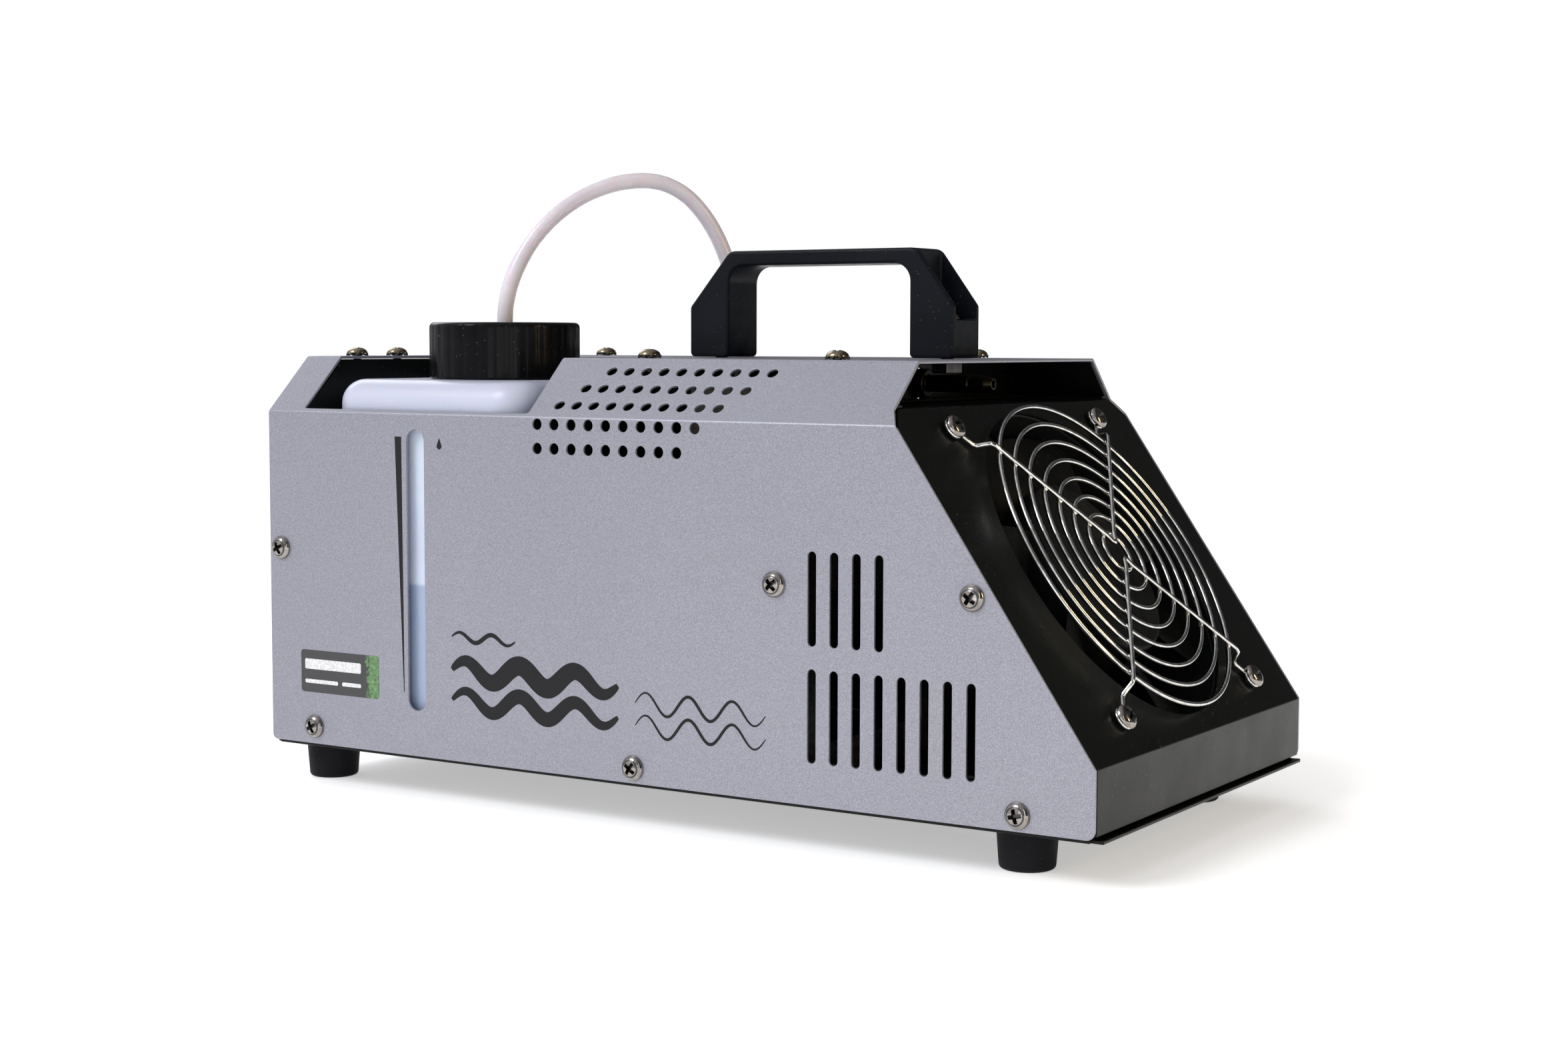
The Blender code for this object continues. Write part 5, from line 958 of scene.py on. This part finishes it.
for i, (y, z) in enumerate((DATA_IN_CENTRE, DATA_OUT_CENTRE), start=1):
    for k, (u, v) in enumerate(((-0.0104, 0.0127), (0.0104, -0.0127)), start=1):
        add_screw(f"socket_screw_{i}_{k}", SMALL_SCREW,
                  facing((REAR_FACE_X - 0.0022, y + u, z + v), (-1, 0, 0)))


# ---------------------------------------------------------------- fan guard, fan
def spoke_path(side):
    """V-shaped spoke: eye, up over the rings, in to the middle and out again."""
    eye = Vector((side * FAN_HOLE_PITCH, -FAN_HOLE_PITCH, 0.0))
    inward = (Vector((side * 0.0026, 0.0, 0.0)) - eye).normalized()
    half = [eye + inward * reach + Vector((0, 0, height)) for reach, height in (
        (EYE_RADIUS, EYE_HEIGHT), (0.0060, EYE_HEIGHT), (0.0090, EYE_HEIGHT),
        (0.0105, EYE_HEIGHT + 0.0006), (0.0128, SPOKE_HEIGHT - 0.0006), (0.0145, SPOKE_HEIGHT))]
    tip = Vector((side * 0.0060, -0.0026, SPOKE_HEIGHT))
    start = half[-1]
    half += [start.lerp(tip, i / 12) for i in range(1, 13)]
    half += [Vector((side * 0.0038, -0.0011, SPOKE_HEIGHT)),
             Vector((side * 0.0031, 0.0, SPOKE_HEIGHT))]
    return half + [Vector((p.x, -p.y, p.z)) for p in reversed(half[:-1])]


def wire_ring(centre, radius, height, count):
    points = [(x, y, height) for x, y in circle(centre, radius, count)]
    return tube(points, WIRE, 12, closed=True)


def make_guard():
    bm = bmesh.new()
    rings = [OUTER_RING - RING_PITCH * i for i in range(8)]
    for radius in rings:
        count = max(40, round(150 * radius / OUTER_RING))
        copy_into(bm, wire_ring((0, 0), radius, RING_HEIGHT, count))
    for side in (-1, 1):
        copy_into(bm, tube(smooth_route(spoke_path(side), 0.002), WIRE, 12))
    for u, v in CORNERS:
        centre = (u * FAN_HOLE_PITCH, v * FAN_HOLE_PITCH)
        copy_into(bm, wire_ring(centre, EYE_RADIUS, EYE_HEIGHT, 40))
        eye = Vector((*centre, 0.0))
        span = Vector((u * 0.0026, 0.0, 0.0)) - eye
        # A small weld where the spoke crosses each ring but the innermost.
        for radius in rings[:-1]:
            a, b, c = span.length_squared, 2 * eye.dot(span), eye.length_squared - radius ** 2
            root = (-b - math.sqrt(max(0.0, b * b - 4 * a * c))) / (2 * a)
            spot = eye + span * root + Vector((0, 0, RING_HEIGHT + 0.75 * WIRE))
            for vert in bmesh.ops.create_icosphere(bm, subdivisions=2, radius=BEAD)["verts"]:
                vert.co = spot + Vector((vert.co.x, vert.co.y, vert.co.z * 0.75))
    add_piece("wire_guard", bm, GUARD_CHROME, place=FAN_PLACE, smooth=70,
              node="fan_guard")


make_guard()

def make_fan_frame():
    half, bm = FAN_SIZE / 2, bmesh.new()
    outline = fillet_path(rectangle((-half, -half), (half, half)), 0.005, 5)
    holes = [circle((0, 0), FAN_HOLE_RADIUS, 96)]
    holes += [circle(spot, SCREW_HOLE) for spot in fan_screw_spots()]
    body = plate(outline, holes, FAN_DEPTH, 0.0008, 3)
    copy_into(bm, body, Matrix.Translation((0, 0, FRAME_FRONT)))
    back = FRAME_FRONT - FAN_DEPTH
    base = turned([(0.0, back + 0.0032), (HUB_RADIUS - 0.0006, back + 0.0032),
                   (HUB_RADIUS, back + 0.0026), (HUB_RADIUS, back + 0.0008),
                   (HUB_RADIUS - 0.0006, back + 0.0002), (0.0, back + 0.0002)], 64)
    copy_into(bm, base)
    for i in range(4):
        strut = bmesh.new()
        add_box(strut, (0.025, -0.0025, back + 0.0004), (0.0580, 0.0025, back + 0.0029), 0.0006)
        copy_into(bm, strut, Matrix.Rotation(math.radians(45 + 90 * i), 4, "Z"))
    add_piece("fan_housing", bm, BLACK_PLASTIC, place=FAN_PLACE,
              node="fan_frame")


def blade(turn):
    bm = bmesh.new()
    across, out, thick = 14, 10, 0.0014
    middle = FRAME_FRONT - 0.0115
    grid = []
    for layer in (0, 1):
        rows = []
        for i in range(out + 1):
            row = []
            for k in range(across + 1):
                along, chord = i / out, k / across - 0.5
                radius = 0.0306 + along * (ROTOR_RADIUS - 0.0306)
                sweep = math.radians(38 + 6 * along) * chord + math.radians(12) * along
                rise = -0.0150 * chord * (1 - 0.15 * along) + 0.0022 * math.cos(math.pi * chord)
                half_thick = thick / 2 * math.sqrt(max(0.03, 1 - (2 * chord) ** 4))
                rise += half_thick if layer == 0 else -half_thick
                angle = turn + sweep
                row.append(bm.verts.new((radius * math.cos(angle), radius * math.sin(angle),
                                         middle + rise)))
            rows.append(row)
        grid.append(rows)
    top, under = grid
    for i in range(out):
        for k in range(across):
            bm.faces.new((top[i][k], top[i + 1][k], top[i + 1][k + 1], top[i][k + 1]))
            bm.faces.new((under[i][k], under[i][k + 1], under[i + 1][k + 1], under[i + 1][k]))
    for i in range(out):
        bm.faces.new((top[i][0], under[i][0], under[i + 1][0], top[i + 1][0]))
        bm.faces.new((top[i][-1], top[i + 1][-1], under[i + 1][-1], under[i][-1]))
    for k in range(across):
        bm.faces.new((top[0][k], top[0][k + 1], under[0][k + 1], under[0][k]))
        bm.faces.new((top[-1][k], under[-1][k], under[-1][k + 1], top[-1][k + 1]))
    return bm


def make_rotor():
    front, back = FRAME_FRONT - 0.0015, FRAME_FRONT - FAN_DEPTH + 0.0045
    inner, shaft = 0.0285, 0.0020
    points = [(0.0, front - 0.0004), (0.0120, front - 0.0004), (0.0128, front),
              (HUB_RADIUS, front), (HUB_RADIUS, back), (inner, back), (inner, front - 0.0030),
              (shaft, front - 0.0030), (shaft, back + 0.0005), (0.0, back + 0.0005)]
    bm = turned(fillet_path(points, [0, 0.0003, 0.0003, 0.0018, 0.0004, 0.0004, 0.0008, 0, 0, 0],
                            4, closed=False), 72)
    for i in range(7):
        copy_into(bm, blade(math.tau * i / 7))
    add_piece("fan_impeller", bm, BLACK_PLASTIC, body="fan_rotor", place=FAN_PLACE,
              node="fan_rotor")


make_fan_frame()
make_rotor()
# Black foam behind the far wall's slots, clear of the fan and the slanted panel.
filter_mat = plate(fillet_path([(0.064, 0.022), (0.150, 0.022), (0.150, 0.046), (0.113, 0.100),
                                (0.064, 0.100)], 0.002, 4), [], 0.0020, 0.0004, 2)
moved(filter_mat, Matrix.Translation((0, 0.0797, 0)) @ UPRIGHT)
add_piece("air_filter_mat", filter_mat, RUBBER)


# ---------------------------------------------------------------- handle and its bolts
def make_handle():
    low_z, shoulder_z, under_z = TOP_Z + GAP, 0.1725, 0.1868
    rear_x, front_x = HANDLE_X
    rear_top, front_top, rear_leg, front_leg = -0.0120, 0.0631, -0.0123, 0.0610
    outline = [(rear_x, low_z), (rear_x, shoulder_z), (rear_top, HANDLE_TOP_Z),
               (front_top, HANDLE_TOP_Z), (front_x, shoulder_z), (front_x, low_z),
               (front_leg, low_z), (front_leg, under_z), (rear_leg, under_z), (rear_leg, low_z)]
    outline = fillet_path(outline, [0.0016, 0.0022, 0.0045, 0.0045, 0.0022, 0.0016, 0.0016,
                                    0.0062, 0.0062, 0.0016], 8)
    body = moved(plate(outline, [], HANDLE_HALF_WIDTH * 2, 0.0013, 5),
                 UPRIGHT @ Matrix.Translation((0, 0, HANDLE_HALF_WIDTH)))
    wall, end_wall = 0.0024, 0.0026
    inside = HANDLE_HALF_WIDTH - wall
    pockets = bmesh.new()
    add_box(pockets, (front_leg + end_wall, -inside, POCKET_FLOOR_Z),
            (front_x + 0.01, inside, 0.2), 0.0009, 3)
    add_box(pockets, (rear_x - 0.01, -inside, POCKET_FLOOR_Z),
            (rear_leg - end_wall, inside, 0.2), 0.0009, 3)
    bores = bmesh.new()
    for x in HANDLE_BOLT_X:
        add_rod(bores, (x, 0, low_z - 0.002), (x, 0, POCKET_FLOOR_Z + 0.002), HANDLE_BOLT_HOLE)
    bm = combine(body, ("DIFFERENCE", pockets), ("DIFFERENCE", bores))
    add_piece("grip_handle", bm, HANDLE_PLASTIC, smooth=32,
              node="carry_handle")


def hexagon_nut(radius, low, high, bore):
    bm = plate(circle((0, 0), radius, 6), [circle((0, 0), bore, 24)], high - low, 0.0004, 2)
    return moved(bm, Matrix.Translation((0, 0, high)))


make_handle()
for label, x in zip(("rear", "front"), HANDLE_BOLT_X):
    add_screw(f"handle_bolt_{label}_visible", BOLT_HEAD,
              Matrix.Translation((x, 0, POCKET_FLOOR_Z + GAP)), f"handle_bolt_{label}")
    nut = hexagon_nut(0.0058, 0.1497, TOP_Z - COVER_SHEET - GAP, 0.0022)
    moved(nut, Matrix.Translation((x, 0, 0)) @ Matrix.Rotation(0.35 + x * 9, 4, "Z"))
    add_piece(f"handle_nut_{label}", nut, DARK_STEEL, smooth=25)


# ---------------------------------------------------------------- feet
foot_profile = fillet_path(
    [(0.0045, 0.0050), (0.0045, 0.0), (FOOT_TIP_RADIUS, 0.0), (FOOT_RADIUS, FOOT_HEIGHT),
     (0.0024, FOOT_HEIGHT), (0.0024, 0.0050)], [0, 0.0005, 0.0014, 0.0003, 0, 0], 5,
    closed=False)
for side, y in (("near", -FOOT_Y), ("far", FOOT_Y)):
    for end, x in zip(("rear", "front"), FOOT_X):
        add_piece(f"foot_{end}_{side}", turned(foot_profile, 56, closed=True), RUBBER,
                  place=Matrix.Translation((x, y, 0)),
                  node=f"rubber_foot_{end}_{side}")
        add_screw(f"foot_screw_{end}_{side}", FOOT_SCREW,
                  Matrix.Translation((x, y, 0.0048)) @ Matrix.Rotation(math.pi, 4, "X"))


# ---------------------------------------------------------------- bottle, cap, grommet, nozzle
def rounded_box(low, high, corner, foot, shoulder, corner_steps=10, edge_steps=8):
    quarter = quarter_turn(edge_steps)
    levels = [(low.z + foot * b, foot * a) for a, b in quarter]
    levels += [(low.z + foot + (high.z - shoulder - low.z - foot) * i / 8, 0.0)
               for i in range(1, 8)]
    levels += [(high.z - shoulder * a, shoulder * b) for a, b in quarter]
    bm = bmesh.new()
    rings = []
    for z, inset in levels:
        radius = max(0.0006, corner - inset)
        ring = []
        for turn, (x, y) in enumerate(((high.x, high.y), (low.x, high.y),
                                       (low.x, low.y), (high.x, low.y))):
            cx = x - math.copysign(corner, x - (low.x + high.x) / 2)
            cy = y - math.copysign(corner, y - (low.y + high.y) / 2)
            for i in range(corner_steps + 1):
                angle = math.pi / 2 * (turn + i / corner_steps)
                ring.append(bm.verts.new((cx + radius * math.cos(angle),
                                          cy + radius * math.sin(angle), z)))
        rings.append(ring)
    for lower, above in zip(rings, rings[1:]):
        for i in range(len(lower)):
            j = (i + 1) % len(lower)
            bm.faces.new((lower[i], lower[j], above[j], above[i]))
    bm.faces.new(rings[0][::-1])
    bm.faces.new(rings[-1])
    return bm


def make_bottle():
    outer = rounded_box(BOTTLE_LOW, BOTTLE_HIGH, 0.0140, 0.0050, 0.0085)
    neck_profile = [(0.0, 0.1440), (0.0262, 0.1440), (0.0262, 0.1460), (0.0257, 0.1466),
                    (NECK_RADIUS, 0.1466)]
    for i in range(3):
        z = 0.1505 + 0.0034 * i
        neck_profile += [(NECK_RADIUS - 0.0006, z), (NECK_RADIUS, z + 0.0008),
                         (NECK_RADIUS, z + 0.0014), (NECK_RADIUS - 0.0006, z + 0.0022)]
    neck_profile += [(NECK_RADIUS - 0.0006, NECK_TOP_Z - 0.0004),
                     (NECK_RADIUS - 0.0010, NECK_TOP_Z), (0.0, NECK_TOP_Z)]
    neck = moved(turned(neck_profile, 96), Matrix.Translation(CAP_CENTRE))
    wall = Vector((BOTTLE_WALL,) * 3)
    inner = rounded_box(BOTTLE_LOW + wall, BOTTLE_HIGH - wall, 0.0124, 0.0034, 0.0068, 6, 4)
    bore = bmesh.new()
    add_rod(bore, CAP_CENTRE + Vector((0, 0, 0.140)), CAP_CENTRE + Vector((0, 0, 0.170)),
            NECK_BORE, segments=96)
    bm = combine(outer, ("UNION", neck), ("DIFFERENCE", inner), ("DIFFERENCE", bore))
    add_piece("fluid_bottle", bm, BOTTLE, body="tank", smooth=40,
              node="tank_bottle")


def make_cap():
    r = CAP_RADIUS
    inner, roof = NECK_RADIUS + 0.0006, CAP_TOP_Z - 0.0018
    points = [(HOSE_HOLE, CAP_TOP_Z), (r, CAP_TOP_Z), (r, CAP_LOW_Z), (inner, CAP_LOW_Z),
              (inner, roof), (HOSE_HOLE, roof)]
    bm = turned(fillet_path(points, [0.0004, 0.0018, 0.0006, 0.0004, 0, 0], 6), 180, closed=True)
    for vert in bm.verts:
        reach = math.hypot(vert.co.x, vert.co.y)
        if reach > inner + 0.002 and vert.co.z < CAP_TOP_Z - 0.0009:
            angle = math.atan2(vert.co.y, vert.co.x)
            groove = max(0.0, math.cos(angle * 30)) ** 3
            vert.co.xy *= 1 - 0.00028 * groove / reach
    add_piece("bottle_cap", bm, GLOSS_BLACK, body="tank_cap",
              place=Matrix.Translation(CAP_CENTRE), node="tank_cap")


def make_grommet():
    x, y, top = GROMMET_CENTRE
    hole, lip, neck, under = 0.0029, 0.0055, 0.0039, TOP_Z - COVER_SHEET - GAP
    points = [(hole, top + 0.0023), (lip, top + 0.0023), (lip, top + GAP), (neck, top + GAP),
              (neck, under), (lip, under), (lip, under - 0.0012), (hole, under - 0.0012)]
    bm = turned(fillet_path(points, [0.0003, 0.0010, 0.0003, 0, 0, 0.0003, 0.0004, 0.0003], 5),
                48, closed=True)
    add_piece("rubber_grommet", bm, RUBBER, place=Matrix.Translation((x, y, 0)),
              node="hose_grommet")


def make_nozzle():
    rear = BACK_WALL_X - 0.0035 + GAP
    bore, radius, length = 0.0012, NOZZLE_RADIUS, NOZZLE_TIP_X - rear
    collar_end = BACK_WALL_X + 0.0035 - rear
    points = [(NOZZLE_COLLAR, 0.0), (NOZZLE_COLLAR, collar_end), (radius, collar_end),
              (radius, length - 0.0090), (radius - 0.0003, length - 0.0086),
              (radius - 0.0003, length - 0.0076), (radius, length - 0.0072),
              (radius, length - 0.0026), (radius - 0.0010, length), (bore + 0.0003, length),
              (bore, length - 0.0006), (bore, 0.0)]
    bm = turned(fillet_path(points, [0.0003, 0.0005, 0.0003, 0, 0, 0, 0, 0.0006, 0.0002, 0, 0, 0],
                            3), 48, closed=True)
    add_piece("brass_nozzle", bm, BRASS, place=facing((rear, 0, NOZZLE_Z), (1, 0, 0)),
              node="fog_nozzle")


make_bottle()
make_cap()
make_grommet()
make_nozzle()


# ---------------------------------------------------------------- rear controls
def make_buttons():
    r = BUTTON_RADIUS
    points = [(0.0, 0.0030), (r, 0.0030), (r, -0.0018), (0.0042, -0.0018), (0.0042, -0.0026),
              (0.0018, -0.0026), (0.0018, -0.0037), (0.0, -0.0037)]
    profile = fillet_path(points, [0, 0.0008, 0.0001, 0.0002, 0.0002, 0, 0.0002, 0], 5,
                          closed=False)
    for i, (y, z) in enumerate(BUTTON_CENTRES, start=1):
        add_piece(f"button_{i}", turned(profile, 40), GLOSS_BLACK, body=f"menu_button_{i}",
                  place=facing((REAR_FACE_X, y, z), (-1, 0, 0)),
                  node=f"menu_button_{i}")


make_buttons()


# ---------------------------------------------------------------- printing on the cover
def print_on_wall(name, outline, material, thick=PRINT, rim=0.00002, under=0.0):
    """A printed or stuck-on shape on the near wall, from an outline of (x, z) points."""
    bm = moved(plate(outline, [], thick, rim, 1),
               Matrix.Translation((0, -HALF_WIDTH - under - thick, 0)) @ UPRIGHT)
    add_piece(name, bm, material, smooth=20)


def stroke(points, widths):
    """Outline of a line drawn with a changing width."""
    points = [Vector(p) for p in points]
    left, right = [], []
    for i, point in enumerate(points):
        along = (points[min(i + 1, len(points) - 1)] - points[max(i - 1, 0)]).normalized()
        normal = Vector((-along.y, along.x)) * widths[i] / 2
        left.append(tuple(point + normal))
        right.append(tuple(point - normal))
    return left + right[::-1]


print_on_wall("level_wedge", [(-0.1022, 0.1269), (-0.0992, 0.1269), (-0.0987, 0.0374),
                              (-0.0990, 0.0374)], INK)


def wave(x_low, x_high, z, height, waves, width):
    count = 28 * waves
    points, widths = [], []
    for i in range(count + 1):
        t = i / count
        points.append((x_low + (x_high - x_low) * t,
                       z + height * math.sin(math.tau * (waves * t))))
        widths.append(width * (0.25 + 0.75 * math.sin(math.pi * t) ** 0.6))
    return stroke(points, widths)


for i, (x_low, x_high, z, height, waves, width) in enumerate((
        (-0.0770, -0.0490, 0.0585, 0.0016, 2, 0.0016),
        (-0.0770, -0.0060, 0.0470, 0.0034, 3, 0.0068),
        (-0.0770, -0.0060, 0.0365, 0.0034, 3, 0.0052),
        (0.0010, 0.0520, 0.0420, 0.0036, 3, 0.0011),
        (0.0010, 0.0520, 0.0345, 0.0036, 3, 0.0011)), start=1):
    print_on_wall(f"printed_wave_{i}", wave(x_low, x_high, z, height, waves, width), INK)

drop = [(-0.0820, 0.1268)] + [
    (-0.0820 + 0.0011 * math.cos(a), 0.1240 + 0.0011 * math.sin(a))
    for a in (math.radians(150 + 240 * i / 16) for i in range(17))]
print_on_wall("level_drop_mark", drop, INK)
label_outline = fillet_path(rectangle((-0.1478, 0.0337), (-0.1107, 0.0490)), 0.0012, 5)
print_on_wall("stuck_label", label_outline, LABEL, LABEL_SHEET, 0.00006)
WHITE_INK = ink_look("pale_print", (0.62, 0.62, 0.62))
for i, (low, high) in enumerate((((-0.1458, 0.0421), (-0.1190, 0.0458)),
                                 ((-0.1458, 0.0370), (-0.1300, 0.0384)),
                                 ((-0.1280, 0.0370), (-0.1190, 0.0384))), start=1):
    print_on_wall(f"label_bar_{i}", fillet_path(rectangle(low, high), 0.0005, 3), WHITE_INK,
                  0.00005, under=LABEL_SHEET)


# ---------------------------------------------------------------- kept CAD nodes
KEPT = {
    BLACK_SHEET: ("base_tray", "tank_bay", "outlet_liner"),
    STEEL: ("inner_bracket", "outlet_pipe", "pressure_tube", "pump_piston", "pump_bracket",
            "mains_transformer", "fluid_filter", "xlr_latch"),
    BLACK_PLASTIC: ("iec_inlet", "fuse_drawer", "rocker_bezel", "dmx_in_socket",
                    "dmx_out_socket"),
    GLOSS_BLACK: ("pump_body",), COPPER: ("fan_stator",), ALUMINIUM: ("heater_block",),
    WOOL: ("heater_jacket",), BOARD: ("power_board", "control_board"), SMOKED: ("display_window",),
    RUBBER: ("cap_seal",), FLUID: ("tank_fluid",), HOSE: ("pickup_tube", "suction_hose"),
    RED_PLASTIC: ("power_rocker",),
}
BEVELS = {"base_tray": 0.0003, "tank_bay": 0.0003, "outlet_liner": 0.0002,
          "inner_bracket": 0.0003, "iec_inlet": 0.0005, "fuse_drawer": 0.0003,
          "rocker_bezel": 0.0004, "dmx_in_socket": 0.0004, "dmx_out_socket": 0.0003,
          "power_rocker": 0.0005, "display_window": 0.0003, "xlr_latch": 0.0003,
          "mains_transformer": 0.0005, "heater_block": 0.0005, "pump_body": 0.0005,
          "heater_jacket": 0.0008, "pump_bracket": 0.0003}
for material, names in KEPT.items():
    for name in names:
        node = NODES[name]
        if not node.material_slots:
            node.data.materials.append(material)
        for slot_of_node in node.material_slots:
            slot_of_node.link = "OBJECT"
            slot_of_node.material = material
        if name in BEVELS:
            weld = node.modifiers.new("weld", "WELD")
            weld.merge_threshold = 0.000005
            bevel = node.modifiers.new("bevel", "BEVEL")
            bevel.width, bevel.segments, bevel.limit_method = BEVELS[name], 2, "ANGLE"
            bevel.angle_limit = math.radians(40)

# ---------------------------------------------------------------- floor, lights
floor_mesh = bpy.data.meshes.new("floor")
floor_mesh.from_pydata([(-6, -6, 0), (6, -6, 0), (6, 6, 0), (-6, 6, 0)], [], [(0, 1, 2, 3)])
floor = add_object("floor", floor_mesh)
floor_look = Look("studio_floor", (0.93, 0.93, 0.93), 0.8, Emission_Color=(1.0, 1.0, 1.0, 1.0),
                  Emission_Strength=0.45)
floor_look.set("Specular IOR Level", 0.1)
floor_look.paint(floor_look.patches(3.0, 2.0, 0.92, 0.94))
floor_mesh.materials.append(floor_look.material)

world = bpy.data.worlds.new("studio")
bpy.context.scene.world = world
world.use_nodes = True
nodes, links = world.node_tree.nodes, world.node_tree.links
background = nodes["Background"]
background.inputs["Strength"].default_value = 1.0
# The studio is dim round about and brightest overhead to the left, behind the camera.
direction = nodes.new("ShaderNodeTexCoord").outputs["Generated"]
toward = nodes.new("ShaderNodeVectorMath")
toward.operation = "DOT_PRODUCT"
toward.inputs[1].default_value = (-0.62, -0.50, 0.60)
links.new(direction, toward.inputs[0])
glow = nodes.new("ShaderNodeValToRGB")
for element, (position, value) in zip(glow.color_ramp.elements, ((0.05, 0.07), (0.95, 0.85))):
    element.position, element.color = position, (value * 0.95, value * 0.96, value, 1.0)
links.new(toward.outputs["Value"], glow.inputs["Fac"])
links.new(glow.outputs["Color"], background.inputs["Color"])
white = nodes.new("ShaderNodeBackground")
white.inputs["Color"].default_value = (1.0, 1.0, 1.0, 1.0)
white.inputs["Strength"].default_value = 1.0
path = nodes.new("ShaderNodeLightPath")
blend_shader = nodes.new("ShaderNodeMixShader")
links.new(path.outputs["Is Camera Ray"], blend_shader.inputs["Fac"])
links.new(background.outputs["Background"], blend_shader.inputs[1])
links.new(white.outputs["Background"], blend_shader.inputs[2])
links.new(blend_shader.outputs["Shader"], nodes["World Output"].inputs["Surface"])


def add_light(name, kind, place, power, colour, **settings):
    data = bpy.data.lights.new(name, kind)
    data.energy, data.color = power, colour
    for setting, value in settings.items():
        setattr(data, setting, value)
    add_object(name, data, place)


for name, direction, strength, colour, angle in (
        ("key", (-0.38, -0.60, 0.70), 1.3, (0.97, 0.97, 1.0), 26),
        ("fill", (-0.75, 0.45, 0.48), 0.5, (0.95, 0.96, 1.0), 30)):
    add_light(name, "SUN", facing((0, 0, 1), direction), strength, colour,
              angle=math.radians(angle))
for name, at, towards, size, power, colour in (
        ("warm_edge", (1.1, 0.10, 0.45), (0.13, 0.0, 0.09), (0.10, 0.5), 2.4, (1.0, 0.76, 0.42)),
        ("low_front", (0.26, -0.62, 0.10), (0.12, -0.09, 0.06), (0.30, 0.30), 0.30,
         (1.0, 0.98, 1.0)),
        ("side_strip", (0.85, -0.75, 0.35), (0.13, 0.0, 0.09), (0.12, 0.9), 0.9,
         (0.95, 0.98, 1.0))):
    add_light(name, "AREA", facing(at, Vector(at) - Vector(towards)), power, colour,
              shape="RECTANGLE", size=size[0], size_y=size[1])

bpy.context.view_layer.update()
